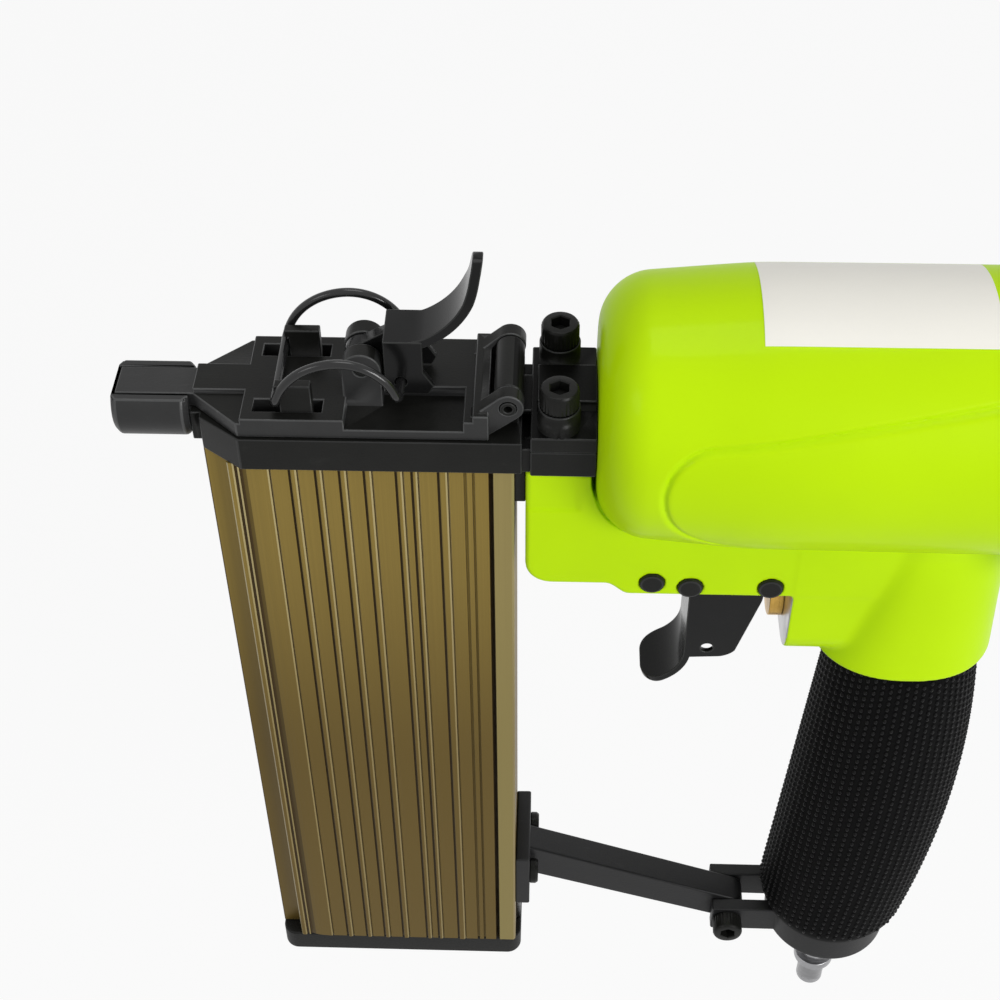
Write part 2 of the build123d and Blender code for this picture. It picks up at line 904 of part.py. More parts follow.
panel_rear_x = body_rear - panel_rear_inset
panel_line = [(panel_x + x, z) for x, z in panel_upper + ((0.0, 0.0),) + panel_lower]
with BuildPart() as side_panels:
    revolve(barrel_profile(panel_height), axis=Axis.X)
    with BuildSketch(across(-panel_inner_y)):
        with BuildLine():
            Spline((panel_rear_x, panel_rear_z[0]), *panel_line, (panel_rear_x, panel_rear_z[1]))
            Line((panel_rear_x, panel_rear_z[1]), (panel_rear_x, panel_rear_z[0]))
        make_face()
    extrude(amount=2 * body_radius, mode=Mode.INTERSECT)
    mirror(about=Plane.XZ)

# Chin, trigger flange and valve block: a slab under the barrel's front, with the shelf that the nose is
# screwed to. The valve block joins the flange to the handle and is round underneath.
with BuildPart() as chin:
    with BuildSketch(across(chin_half)):
        with BuildLine():
            FilletPolyline(
                (chin_front, guide_bottom),
                (chin_front, chin_bottom),
                (flange_step_x[0], chin_bottom),
                (flange_step_x[1], trigger_flange_bottom),
                (block_face, trigger_flange_bottom),
                radius=(chin_round, chin_edge, chin_edge),
            )
            Polyline(
                (block_face, trigger_flange_bottom),
                (block_face, block_bottom),
                (handle_x, block_bottom),
                (handle_x, handle_bore_top),
                (body_front + body_front_round, handle_bore_top),
                (body_front + body_front_round, guide_bottom),
                (chin_front, guide_bottom),
            )
        make_face()
    extrude(amount=2 * chin_half)
    fillet(chin.edges().filter_by(Axis.X).group_by(Axis.Z)[0], block_round)
    front_edges = chin.edges().filter_by(lambda edge: edge.center().X < block_face - chin_round)
    outline_edges = front_edges.filter_by(lambda edge: abs(abs(edge.center().Y) - chin_half) < fit)
    fillet(outline_edges, chin_edge)

pins = {
    "spring_pin": (spring_pin_x, spring_pin_z),
    "trigger_pin": (trigger_pin_x, trigger_pin_z),
    "stop_pin": (stop_pin_x, stop_pin_z),
}
cap_screw_spots = [
    (y * cap_screw_offset, z * cap_screw_offset)
    for y in (-1, 1)
    for z in (-1, 1)
]
end_screw_spots = [foot_x + side * (handle_bore_x + end_screw_inset) for side in (-1, 1)]

# A round bar down the handle: upright at its head and its foot, and leaning between them
def handle_bar(half_x, half_y, bottom, top):
    with BuildPart() as bar:
        with BuildSketch(level(bottom)):
            with Locations((foot_x, 0)):
                Ellipse(half_x, half_y)
        extrude(amount=core_bottom + core_foot - bottom)
        with BuildSketch(level(core_bottom + core_foot)):
            with Locations((foot_x, 0)):
                Ellipse(half_x, half_y)
        with BuildSketch(level(root_bottom)):
            with Locations((grip_x, 0)):
                Ellipse(half_x, half_y)
        loft()
        with BuildSketch(level(root_bottom)):
            with Locations((grip_x, 0)):
                Ellipse(half_x, half_y)
        extrude(amount=top - root_bottom)
    return bar.part


# Main body: barrel, chin, trigger flange, handle root and the handle's hollow core, in one casting
with BuildPart() as main_body:
    revolve(barrel_profile(0.0), axis=Axis.X)
    add(side_panels.part)
    add(chin.part)
    with BuildSketch(level(root_bottom)):
        with Locations((handle_x, 0)):
            Ellipse(root_half_x, root_half_y)
    extrude(amount=handle_bore_top - root_bottom)
    add(handle_bar(core_half_x, core_half_y, core_bottom, root_bottom + over))
    with BuildSketch(along(body_rear - rear_flange)):
        RectangleRounded(rear_flange_side, rear_flange_side, rear_flange_corner)
    extrude(amount=rear_flange)
    rod_x((inner_front + seat_depth, body_rear + over), bore_radius, mode=Mode.SUBTRACT)
    rod_x((inner_front, body_rear), cylinder_radius + fit, mode=Mode.SUBTRACT)
    rod_x((body_front - over, inner_front + over), blade_hole, mode=Mode.SUBTRACT)
    add(handle_bar(handle_bore_x, handle_bore_y, core_bottom - over, handle_bore_top), mode=Mode.SUBTRACT)
    rod_x((block_face - over, grip_x), valve_radius + fit, z=valve_z, mode=Mode.SUBTRACT)
    block(
        (slot_x, block_face),
        (-slot_half, slot_half),
        (trigger_flange_bottom - over, slot_ceiling),
        Mode.SUBTRACT,
    )
    for x, z in pins.values():
        rod_y((-chin_half - over, chin_half + over), pin_radius + fit, x, z, Mode.SUBTRACT)
    for side in (-1, 1):
        rod_z(
            (guide_bottom - nose_screw_depth - over, guide_bottom + over),
            m5_radius + fit,
            nose_screw_x,
            side * nose_screw_y,
            Mode.SUBTRACT,
        )
    for y, z in cap_screw_spots:
        rod_x(
            (body_rear - cap_screw_depth - over / 2, body_rear + over),
            m5_core + fit,
            y,
            z,
            Mode.SUBTRACT,
        )
    for x in end_screw_spots:
        rod_z(
            (core_bottom - over, core_bottom + end_screw_depth + over),
            end_screw_radius + fit,
            x,
            0,
            Mode.SUBTRACT,
        )

save(main_body.part, "main_body")

# Cross pins of the trigger flange
for name, (x, z) in pins.items():
    with BuildPart() as pin:
        rod_y((-chin_half - pin_proud, chin_half + pin_proud), pin_radius, x, z)
        chamfer(pin.edges().filter_by(GeomType.CIRCLE), pin_proud / 2)
    save(pin.part, name)

# Trigger: a bent channel on its pin, with a front sheet that curls forward under the finger
with BuildPart() as finger_sheet:
    with BuildSketch(across(trigger_half)):
        with BuildLine():
            front_line = trigger_front + front_sheet / 2
            Line((front_line, front_top), (front_line, curl_start))
            curl = JernArc((front_line, curl_start), (0, -1), curl_radius, -curl_angle)
            PolarLine(curl @ 1, curl_straight, -90 - curl_angle)
        trace(line_width=front_sheet)
    extrude(amount=2 * trigger_half)
    short_edges = finger_sheet.edges().filter_by(lambda edge: abs(edge.length - front_sheet) < fit)
    fillet(short_edges.filter_by(lambda edge: edge.center().Z < curl_start), curl_corner)

with BuildPart() as trigger:
    for side in (-1, 1):
        cheek_y = on_side(side, (trigger_half - cheek, trigger_half))
        with BuildSketch(across(cheek_y[1])):
            with Locations((trigger_pin_x, trigger_pin_z)):
                Circle(trigger_boss)
            with BuildLine():
                Polyline(
                    (trigger_pin_x, trigger_pin_z + trigger_boss),
                    *trigger_rear,
                    (trigger_front, trigger_front_low),
                    (trigger_front, front_top),
                    (trigger_pin_x - trigger_boss, trigger_pin_z),
                    close=True,
                )
            make_face()
        extrude(amount=cheek)
    add(finger_sheet.part)
    block(
        (bridge_x, bridge_x + bridge_sheet),
        (-trigger_half + cheek / 2, trigger_half - cheek / 2),
        (valve_z - bridge_height / 2, valve_z + bridge_height / 2),
    )
    rod_y((-slot_half, slot_half), pin_radius + fit, trigger_pin_x, trigger_pin_z, Mode.SUBTRACT)
    rod_y((-slot_half, slot_half), cheek_hole_radius, *cheek_hole, Mode.SUBTRACT)

save(trigger.part, "trigger")

# Trigger spring: wound on its own pin, its long leg presses down on the top edge of the trigger's sheet
coil_width = coil_turns * coil_pitch
leg_end = Vector(trigger_front + front_sheet, 0, front_top + coil_wire + gap)
leg_reach = math.hypot(leg_end.X - spring_pin_x, leg_end.Z - spring_pin_z)
leg_slope = math.atan2(
    spring_pin_z - leg_end.Z,
    leg_end.X - spring_pin_x) - math.asin(coil_radius / leg_reach,
)
leg_length = math.sqrt(leg_reach ** 2 - coil_radius ** 2) + coil_overhang
lead_room = spring_pin_x - coil_radius * math.sin(leg_slope) - slot_x - coil_wire - gap
spring_plane = Plane(
    origin=(spring_pin_x, coil_width / 2, spring_pin_z),
    x_dir=(-math.sin(leg_slope), 0, -math.cos(leg_slope)),
    z_dir=(0, -1, 0),
)
trigger_spring = coil_spring(
    "trigger_spring",
    spring_plane,
    coil_radius,
    coil_wire,
    coil_pitch,
    coil_turns,
    lead_room / math.cos(leg_slope),
    leg_length,
)
save(trigger_spring, "trigger_spring")

# Trigger valve: a brass body in the valve block, its stem towards the trigger, a plug behind its spring
collar_face = block_face - valve_collar
plug_face = valve_end - valve_plug
groove_floor = valve_radius - 2 * valve_seal_radius + fit

with BuildPart() as valve_body:
    rod_x((collar_face, block_face), valve_collar_radius)
    rod_x((block_face, valve_end), valve_radius)
    rod_x((collar_face - over, stem_stop + over), stem_radius + fit, mode=Mode.SUBTRACT)
    rod_x((stem_stop, valve_end + over), valve_bore, mode=Mode.SUBTRACT)
    with BuildSketch(along(valve_seal_x - valve_seal_radius)):
        Circle(valve_radius + over)
        Circle(groove_floor, mode=Mode.SUBTRACT)
    extrude(amount=2 * valve_seal_radius, mode=Mode.SUBTRACT)
save(valve_body.part.moved(Location((0, 0, valve_z))), "valve_body")

with BuildPart() as valve_seal:
    with BuildSketch(along(valve_seal_x - valve_seal_radius + fit)):
        Circle(valve_radius)
        Circle(groove_floor + fit, mode=Mode.SUBTRACT)
    extrude(amount=2 * (valve_seal_radius - fit))
save(valve_seal.part.moved(Location((0, 0, valve_z))), "valve_seal")

with BuildPart() as valve_stem:
    rod_x((stem_tip, stem_stop + seam + over), stem_radius)
    rod_x((stem_stop + seam, stem_stop + seam + stem_head), stem_head_radius)
    fillet(valve_stem.faces().sort_by(Axis.X)[0].edges(), stem_radius / 2)
save(valve_stem.part.moved(Location((0, 0, valve_z))), "valve_stem")

with BuildPart() as valve_end_plug:
    rod_x((plug_face, valve_end), valve_bore - fit)
    rod_x((plug_face - over, valve_end + over), valve_vent, mode=Mode.SUBTRACT)
save(valve_end_plug.part.moved(Location((0, 0, valve_z))), "valve_plug")

spring_start = stem_stop + seam + stem_head + valve_wire + seam
spring_room = plug_face - spring_start - valve_wire - seam
valve_spring_plane = Plane(origin=(spring_start, 0, valve_z), x_dir=(0, 1, 0), z_dir=(1, 0, 0))
valve_spring = coil_spring(
    "valve_spring", valve_spring_plane, valve_coil, valve_wire, spring_room / valve_turns, valve_turns
)
save(valve_spring, "valve_spring")

# Grip sleeve: rubber over the handle's core, wider towards its foot
def grip_section(z, centre_x, grow):
    with BuildSketch(level(z)) as section:
        with Locations((centre_x, 0)):
            Ellipse(core_half_x + grip_wall + grow, core_half_y + grip_wall + grow)
    return section.sketch


with BuildPart() as grip_sleeve:
    loft([grip_section(grip_bottom, foot_x, grip_flare), grip_section(grip_top, grip_x, 0.0)])
    add(
        handle_bar(core_half_x + seam, core_half_y + seam, grip_bottom - over, root_bottom + over),
        mode=Mode.SUBTRACT,
    )
save(grip_sleeve.part, "grip_sleeve")

# Handle end cap: closes the air chamber, carries the air plug and the lugs for the magazine's bracket
end_cap_bottom = core_bottom - end_cap
lug_span = (lug_front, foot_x - core_half_x)
lug_z = (end_cap_bottom + lug_inset, core_bottom - lug_inset)
bolt_z = (lug_z[0] + lug_z[1]) / 2
bracket_lug_y = (bracket_half + lug_gap, bracket_half + lug_gap + lug_thickness)

with BuildPart() as handle_end_cap:
    with BuildSketch(level(end_cap_bottom)):
        with Locations((foot_x, 0)):
            Ellipse(core_half_x + grip_wall, core_half_y + grip_wall)
    extrude(amount=end_cap)
    fillet(handle_end_cap.faces().sort_by(Axis.Z)[0].edges(), end_cap_edge)
    with BuildSketch(level(core_bottom)):
        with Locations((foot_x, 0)):
            Ellipse(handle_bore_x - spigot_gap, handle_bore_y - spigot_gap)
    extrude(amount=spigot)
    for side in (-1, 1):
        block((lug_span[0], lug_span[1] + 2 * over), on_side(side, bracket_lug_y), lug_z)
    rod_y((-chin_half, chin_half), m5_radius + fit, bolt_x, bolt_z, Mode.SUBTRACT)
    rod_z((end_cap_bottom - over, core_bottom + spigot + over), plug_bore, foot_x, 0, Mode.SUBTRACT)
    rod_z((end_cap_bottom - over, core_bottom), plug_thread_radius + fit, foot_x, 0, Mode.SUBTRACT)
    for x in end_screw_spots:
        rod_z((end_cap_bottom - over, core_bottom + over), end_screw_radius + fit, x, 0, Mode.SUBTRACT)
    with BuildSketch(level(core_bottom + spigot / 2 - end_seal_radius)):
        with Locations((foot_x, 0)):
            Ellipse(handle_bore_x, handle_bore_y)
            Ellipse(
                handle_bore_x - 2 * end_seal_radius,
                handle_bore_y - 2 * end_seal_radius,
                mode=Mode.SUBTRACT,
            )
    extrude(amount=2 * end_seal_radius, mode=Mode.SUBTRACT)
save(handle_end_cap.part, "handle_end_cap")

with BuildPart() as end_cap_seal:
    with BuildSketch(level(core_bottom + spigot / 2 - end_seal_radius + fit)):
        with Locations((foot_x, 0)):
            Ellipse(handle_bore_x - fit, handle_bore_y - fit)
            Ellipse(
                handle_bore_x - 2 * end_seal_radius + fit,
                handle_bore_y - 2 * end_seal_radius + fit,
                mode=Mode.SUBTRACT,
            )
    extrude(amount=2 * (end_seal_radius - fit))
save(end_cap_seal.part, "end_cap_seal")

with BuildPart() as end_cap_screws:
    for x in end_screw_spots:
        rod_z((end_cap_bottom, core_bottom + end_screw_depth), end_screw_radius, x)
        rod_z((end_cap_bottom - end_screw_head_height, end_cap_bottom), end_screw_head, x)
        with BuildSketch(Plane(origin=(x, 0, end_cap_bottom - end_screw_head_height))):
            RegularPolygon(end_screw_radius, 6)
        extrude(amount=end_screw_head_height / 2, mode=Mode.SUBTRACT)
save(end_cap_screws.part, "end_cap_screws")

# Air plug: a threaded hex with the grooved nipple that an air hose couples to
hex_bottom = end_cap_bottom - plug_hex_height
collar_bottom = hex_bottom - plug_collar
groove_bottom = collar_bottom - plug_groove
rim_bottom = groove_bottom - plug_rim
plug_bottom = rim_bottom - plug_tip

with BuildPart() as air_plug:
    rod_z((end_cap_bottom - over, core_bottom - seam), plug_thread_radius, foot_x)
    with BuildSketch(level(hex_bottom)):
        with Locations((foot_x, 0)):
            RegularPolygon(plug_hex / 2, 6, major_radius=False, rotation=30)
    extrude(amount=plug_hex_height)
    rod_z((collar_bottom, hex_bottom), plug_collar_radius, foot_x)
    rod_z((groove_bottom, collar_bottom), plug_groove_radius, foot_x)
    rod_z((rim_bottom, groove_bottom), plug_collar_radius, foot_x)
    rod_z((plug_bottom, rim_bottom), plug_tip_radius, foot_x)
    rod_z((plug_bottom - over, core_bottom), plug_bore, foot_x, mode=Mode.SUBTRACT)
save(air_plug.part, "air_plug")

# Cylinder: a sleeve seated in the body's front, with a ported collar near its rear and a front seal
cylinder_seal_x = inner_front + cylinder_seal_inset
collar_x = (body_rear - collar_inset - collar_length, body_rear - collar_inset)

with BuildPart() as cylinder_sleeve:
    rod_x((inner_front, cylinder_end), cylinder_radius)
    rod_x((inner_front - over, cylinder_end + over), cylinder_bore, mode=Mode.SUBTRACT)
    with BuildSketch(along(cylinder_seal_x - cylinder_seal_radius)):
        Circle(cylinder_radius + over)
        Circle(cylinder_radius - cylinder_seal_radius, mode=Mode.SUBTRACT)
    extrude(amount=2 * cylinder_seal_radius, mode=Mode.SUBTRACT)
save(cylinder_sleeve.part, "cylinder_sleeve")

with BuildPart() as cylinder_seal:
    with BuildSketch(along(cylinder_seal_x - cylinder_seal_radius + fit)):
        Circle(cylinder_radius)
        Circle(cylinder_radius - cylinder_seal_radius + fit, mode=Mode.SUBTRACT)
    extrude(amount=2 * (cylinder_seal_radius - fit))
save(cylinder_seal.part, "cylinder_seal")

port_ring = (cylinder_radius + bore_radius) / 2
with BuildPart() as cylinder_collar:
    with BuildSketch(along(collar_x[0])):
        Circle(bore_radius - fit)
        Circle(cylinder_radius + fit, mode=Mode.SUBTRACT)
        with PolarLocations(port_ring, collar_ports):
            Circle(collar_port_radius, mode=Mode.SUBTRACT)
    extrude(amount=collar_x[1] - collar_x[0])
save(cylinder_collar.part, "cylinder_collar")

# Piston with its ring and driver blade; the bumper stops it at the front of the cylinder
boss_front = piston_front - piston_boss
ring_front = piston_front + ring_inset
piston_radius = cylinder_bore - piston_clear
ring_floor = piston_radius - ring_depth
blade_rear = boss_front + blade_socket

with BuildPart() as piston:
    rod_x((piston_front, piston_rear), piston_radius)
    rod_x((boss_front, piston_front + over), piston_boss_radius)
    with BuildSketch(along(ring_front)):
        Circle(cylinder_bore)
        Circle(ring_floor, mode=Mode.SUBTRACT)
    extrude(amount=ring_width, mode=Mode.SUBTRACT)
    block(
        (boss_front - over, blade_rear + fit),
        (-blade_half - fit, blade_half + fit),
        (-blade_height / 2 - fit, blade_height / 2 + fit),
        Mode.SUBTRACT,
    )
save(piston.part, "piston")

with BuildPart() as piston_ring:
    with BuildSketch(along(ring_front + fit)):
        Circle(cylinder_bore - fit)
        Circle(ring_floor + fit, mode=Mode.SUBTRACT)
    extrude(amount=ring_width - 2 * fit)
save(piston_ring.part, "piston_ring")

with BuildPart() as driver_blade:
    block((blade_tip, blade_rear), (-blade_half, blade_half), (-blade_height / 2, blade_height / 2))
save(driver_blade.part, "driver_blade")

with BuildPart() as bumper:
    rod_x((inner_front, inner_front + bumper_length), cylinder_bore - bumper_clear)
    rod_x((inner_front - over, inner_front + bumper_length + over), bumper_bore, mode=Mode.SUBTRACT)
    chamfer(bumper.faces().sort_by(Axis.X)[-1].edges(), bumper_clear * 2)
save(bumper.part, "bumper")

# Rear cap on its gasket, with the guide for the head valve and a post for the exhaust screw
cap_front = body_rear + gasket
pad_front = cylinder_end + seam
disc_front = pad_front + pad
disc_rear = disc_front + valve_disc
boss_rear = disc_rear + valve_boss
cap_guide_start = disc_rear + valve_lift + seam
guide_end_x = boss_rear + valve_lift + cap_guide_gap
cap_rear = guide_end_x + cap_wall

with BuildPart() as cap_gasket:
    with BuildSketch(along(body_rear)):
        RectangleRounded(rear_flange_side, rear_flange_side, rear_flange_corner)
        Circle(bore_radius, mode=Mode.SUBTRACT)
        with Locations(*cap_screw_spots):
            Circle(m5_clear, mode=Mode.SUBTRACT)
    extrude(amount=gasket)
save(cap_gasket.part, "cap_gasket")

with BuildPart() as rear_cap:
    rod_x((cap_front, cap_rear), cap_radius)
    fillet(rear_cap.faces().sort_by(Axis.X)[-1].edges(), cap_round)
    with BuildSketch(along(cap_front)):
        RectangleRounded(rear_flange_side, rear_flange_side, rear_flange_corner)
    extrude(amount=cap_flange)
    rod_x((cap_front - over, cap_guide_start), cap_cavity_radius, mode=Mode.SUBTRACT)
    rod_x((cap_front - over, guide_end_x), cap_guide_radius, mode=Mode.SUBTRACT)
    rod_x((guide_end_x - cap_post, guide_end_x + over), cap_post_radius)
    with BuildSketch(along(guide_end_x - over)):
        with PolarLocations(exhaust_port_ring, exhaust_ports):
            Circle(exhaust_port_radius)
    extrude(amount=cap_wall + 2 * over, mode=Mode.SUBTRACT)
    rod_x((cap_rear - exhaust_screw_depth, cap_rear + over), exhaust_screw_radius + fit, mode=Mode.SUBTRACT)
    for y, z in cap_screw_spots:
        rod_x((cap_front - over, cap_rear), m5_clear, y, z, Mode.SUBTRACT)
        rod_x((cap_front + cap_flange, cap_rear), m5_head_radius + gap, y, z, Mode.SUBTRACT)
save(rear_cap.part, "rear_cap")

with BuildPart() as cap_screws:
    for y, z in cap_screw_spots:
        seat = Plane(origin=(cap_front + cap_flange, y, z), x_dir=(0, 1, 0), z_dir=(1, 0, 0))
        shank = cap_flange + gasket + cap_screw_depth
        add(socket_screw(seat, m5_core, shank, m5_head_radius, m5_head, m5_socket, m5_socket_depth))
save(cap_screws.part, "cap_screws")

# Head valve: seals the cylinder's rear with its pad, guided in the cap, pushed shut by its spring
head_ring_x = boss_rear - head_ring_inset

with BuildPart() as head_valve_pad:
    with BuildSketch(along(pad_front)):
        Circle(valve_disc_radius)
        Circle(pad_inner, mode=Mode.SUBTRACT)
    extrude(amount=pad)
save(head_valve_pad.part, "head_valve_pad")

with BuildPart() as head_valve:
    rod_x((disc_front, disc_rear), valve_disc_radius)
    rod_x((disc_rear - over, boss_rear), valve_boss_radius)
    rod_x((disc_rear, boss_rear + over), valve_cup_radius, mode=Mode.SUBTRACT)
    with BuildSketch(along(head_ring_x - head_ring_radius)):
        Circle(cap_guide_radius)
        Circle(valve_boss_radius - head_ring_radius, mode=Mode.SUBTRACT)
    extrude(amount=2 * head_ring_radius, mode=Mode.SUBTRACT)
save(head_valve.part, "head_valve")

with BuildPart() as head_valve_ring:
    with BuildSketch(along(head_ring_x - head_ring_radius + fit)):
        Circle(cap_guide_radius - fit)
        Circle(valve_boss_radius - head_ring_radius + fit, mode=Mode.SUBTRACT)
    extrude(amount=2 * (head_ring_radius - fit))
save(head_valve_ring.part, "head_valve_ring")

head_spring_start = disc_rear + head_wire + seam
head_spring_room = guide_end_x - head_spring_start - head_wire - seam
head_spring_plane = Plane(origin=(head_spring_start, 0, 0), x_dir=(0, 1, 0), z_dir=(1, 0, 0))
head_valve_spring = coil_spring(
    "head_valve_spring", head_spring_plane, head_coil, head_wire, head_spring_room / head_turns, head_turns
)
save(head_valve_spring, "head_valve_spring")

# Exhaust deflector: a cup that turns on its screw to blow the exhaust away from the hand
deflector_front = cap_rear + seam
deflector_rear = deflector_front + deflector_length

with BuildPart() as exhaust_deflector:
    rod_x((deflector_front, deflector_rear), deflector_radius)
    chamfer(exhaust_deflector.faces().sort_by(Axis.X)[-1].edges(), deflector_chamfer)
    rod_x(
        (deflector_front - over, deflector_rear - deflector_wall),
        deflector_radius - deflector_wall,
        mode=Mode.SUBTRACT,
    )
    rod_x((deflector_front, deflector_rear), deflector_hub)
    rod_x((deflector_front - over, deflector_rear + over), exhaust_screw_radius + fit, mode=Mode.SUBTRACT)
    block(
        (deflector_front + deflector_wall, deflector_rear - deflector_wall),
        (-deflector_slot / 2, deflector_slot / 2),
        (deflector_hub + over, deflector_radius + over),
        Mode.SUBTRACT,
    )
save(exhaust_deflector.part, "exhaust_deflector")

with BuildPart() as exhaust_screw:
    rod_x((cap_rear - exhaust_screw_depth, deflector_rear + seam), exhaust_screw_radius)
    rod_x((deflector_rear + seam, deflector_rear + seam + exhaust_screw_head_height), exhaust_screw_head)
    with BuildSketch(along(deflector_rear + seam + exhaust_screw_head_height)):
        RegularPolygon(m5_socket / 2, 6, major_radius=False)
    extrude(amount=-exhaust_screw_head_height, mode=Mode.SUBTRACT)
save(exhaust_screw.part, "exhaust_screw")

# Magazine: an extrusion with a space for the slide, open on the far side, and hollow cells in its near wall
mouth_x = inset(slide_space_x, slide_mouth)
bracket_screw_z = centre_of(bracket_z)
tooth_z = (catch_tooth_z - catch_tooth / 2, catch_tooth_z + catch_tooth / 2)
magazine_screw_seat = guide_top - m4_head
screw_hole_bottom = magazine_screw_seat - magazine_screw_length - over

with BuildPart() as magazine_body:
    with BuildSketch(level(magazine_bottom)):
        pane((magazine_step, magazine_rear), (-magazine_half, magazine_half))
        pane((magazine_front, magazine_step + over), (-magazine_lip_near, magazine_half))
        pane(slide_space_x, (magazine_near_wall, slide_space_far), Mode.SUBTRACT)
        pane(mouth_x, (slide_space_far - over, magazine_half + over), Mode.SUBTRACT)
        for cell_x in cells_x:
            pane(cell_x, cell_y, Mode.SUBTRACT)
        for x in rib_lines:
            line_x = (x - rib_line_width / 2, x + rib_line_width / 2)
            pane(line_x, (-magazine_half - over, -magazine_half + rib_line_depth), Mode.SUBTRACT)
        seam_x = (seam_line_x - seam_line_width / 2, seam_line_x + seam_line_width / 2)
        pane(seam_x, (-magazine_half - over, -magazine_half + seam_line_depth), Mode.SUBTRACT)
    extrude(amount=guide_bottom - magazine_bottom)
    for x in magazine_screw_x:
        rod_z((screw_hole_bottom, guide_bottom + over), m4_radius + fit, x, magazine_screw_y, Mode.SUBTRACT)
    for side in (-1, 1):
        rod_x(
            (magazine_rear + bracket_plate - bracket_screw_length, magazine_rear + over),
            m4_radius + fit,
            side * bracket_screw_y,
            bracket_screw_z,
            Mode.SUBTRACT,
        )
    block(
        (magazine_rear - catch_tooth_depth - gap, magazine_rear + over),
        (-catch_tooth_half - gap, catch_tooth_half + gap),
        inset(tooth_z, -gap),
        Mode.SUBTRACT,
    )
save(magazine_body.part, "magazine_body")

with BuildPart() as magazine_screws:
    for x in magazine_screw_x:
        seat = Plane(origin=(x, magazine_screw_y, magazine_screw_seat))
        screw = socket_screw(
            seat, m4_radius, magazine_screw_length, m4_head_radius, m4_head, m4_socket, m4_socket_depth
        )
        add(screw)
save(magazine_screws.part, "magazine_screws")

with BuildPart() as magazine_spacer:
    spacer_x = (magazine_rear, magazine_rear + spacer)
    block(spacer_x, (-spacer_half, spacer_half), (spacer_bottom, guide_bottom))
save(magazine_spacer.part, "magazine_spacer")

# Magazine slide: carries the row of brads and the follower, and pulls down out of the magazine to load
slide_top = guide_bottom - gap
slide_bottom = magazine_bottom - gap
slide_x = inset(slide_space_x, gap)
slide_y = (magazine_near_wall + gap, slide_space_far - gap)
brad_floor = feed_half + fit

with BuildPart() as magazine_slide:
    with BuildSketch(level(slide_bottom)):
        pane(slide_x, slide_y)
        pane(inset(mouth_x, gap), (slide_y[1] - over, slide_raise))
        pane(feed_slot, (slide_y[0] - over, brad_floor), Mode.SUBTRACT)
        pane(throat_x, (brad_floor - over, carriage_y[0] + over), Mode.SUBTRACT)
        pane(carriage_x, carriage_y, Mode.SUBTRACT)
    extrude(amount=slide_top - slide_bottom)
    for x in slide_screw_x:
        rod_z(
            (slide_bottom - over, slide_bottom + slide_screw_length),
            slide_screw_radius + fit,
            x,
            slide_screw_y,
            Mode.SUBTRACT,
        )
save(magazine_slide.part, "magazine_slide")

# End cap of the slide, with a recess for the catch's foot and sunk heads for its two screws
end_bottom = slide_bottom - slide_end_cap
catch_x = (magazine_rear + catch_gap, magazine_rear + catch_gap + catch_sheet)
foot_x = (catch_x[1] - catch_foot, catch_x[1])
foot_z = (slide_bottom - catch_sheet, slide_bottom)
end_x = (magazine_front, catch_x[1] + gap)
slide_seat = end_bottom + slide_screw_head_height

with BuildPart() as slide_end:
    with BuildSketch(level(end_bottom)):
        with Locations((centre_of(end_x), 0)):
            RectangleRounded(end_x[1] - end_x[0], 2 * slide_end_half, slide_end_round)
    extrude(amount=slide_end_cap)
    block(
        (foot_x[0] - gap, end_x[1] + over),
        (-catch_half - gap, catch_half + gap),
        (foot_z[0], foot_z[1] + over),
        Mode.SUBTRACT,
    )
    for x in slide_screw_x:
        rod_z(
            (end_bottom - over, slide_bottom + over),
            slide_screw_radius + fit,
            x,
            slide_screw_y,
            Mode.SUBTRACT,
        )
        rod_z((end_bottom - over, slide_seat), slide_screw_head + fit, x, slide_screw_y, Mode.SUBTRACT)
save(slide_end.part, "slide_end_cap")

with BuildPart() as slide_screws:
    for x in slide_screw_x:
        seat = Plane(origin=(x, slide_screw_y, slide_seat), x_dir=(1, 0, 0), z_dir=(0, 0, -1))
        screw = socket_screw(
            seat,
            slide_screw_radius,
            slide_screw_length,
            slide_screw_head,
            slide_screw_head_height,
            m4_socket,
            m4_socket_depth,
        )
        add(screw)
save(slide_screws.part, "slide_screws")

# Catch: a flat spring on the slide's end cap, its tooth in a notch of the magazine's rear wall
with BuildPart() as magazine_catch:
    block(catch_x, (-catch_half, catch_half), (foot_z[0], catch_top))
    block(foot_x, (-catch_half, catch_half), foot_z)
    block(
        (magazine_rear - catch_tooth_depth, catch_x[0] + catch_sheet / 2),
        (-catch_tooth_half, catch_tooth_half),
        tooth_z,
    )
save(magazine_catch.part, "magazine_catch")

# Follower: a thin pusher in the brad groove, joined through the throat to a carriage on the spring
follower_bottom = follower_top - follower_length
pusher_y = (slide_y[0] + seam, brad_floor - pusher_clear)
carriage_span_y = inset(carriage_y, pusher_clear)

with BuildPart() as follower:
    with BuildSketch(level(follower_bottom)):
        pane(inset(feed_slot, pusher_clear), pusher_y)
        pane(inset(throat_x, pusher_clear), (pusher_y[0], carriage_span_y[1]))
        pane(inset(carriage_x, pusher_clear), carriage_span_y)
    extrude(amount=follower_length)
save(follower.part, "follower")

follower_spring_start = slide_bottom + follower_wire + seam
follower_spring_room = follower_bottom - follower_wire - seam - follower_spring_start
follower_spring_plane = Plane(
    origin=(
        centre_of(carriage_x),
        centre_of(carriage_y),
        follower_spring_start), x_dir=(1,
        0,
        0), z_dir=(0,
        0,
        1,
    )
)
follower_spring = coil_spring(
    "follower_spring",
    follower_spring_plane,
    follower_coil,
    follower_wire,
    follower_spring_room / follower_turns,
    follower_turns,
)
save(follower_spring, "follower_spring")

# Bracket: ties the foot of the magazine to the lugs under the handle
plate_rear = magazine_rear + bracket_plate
bracket_eye = (lug_z[1] - lug_z[0]) / 2

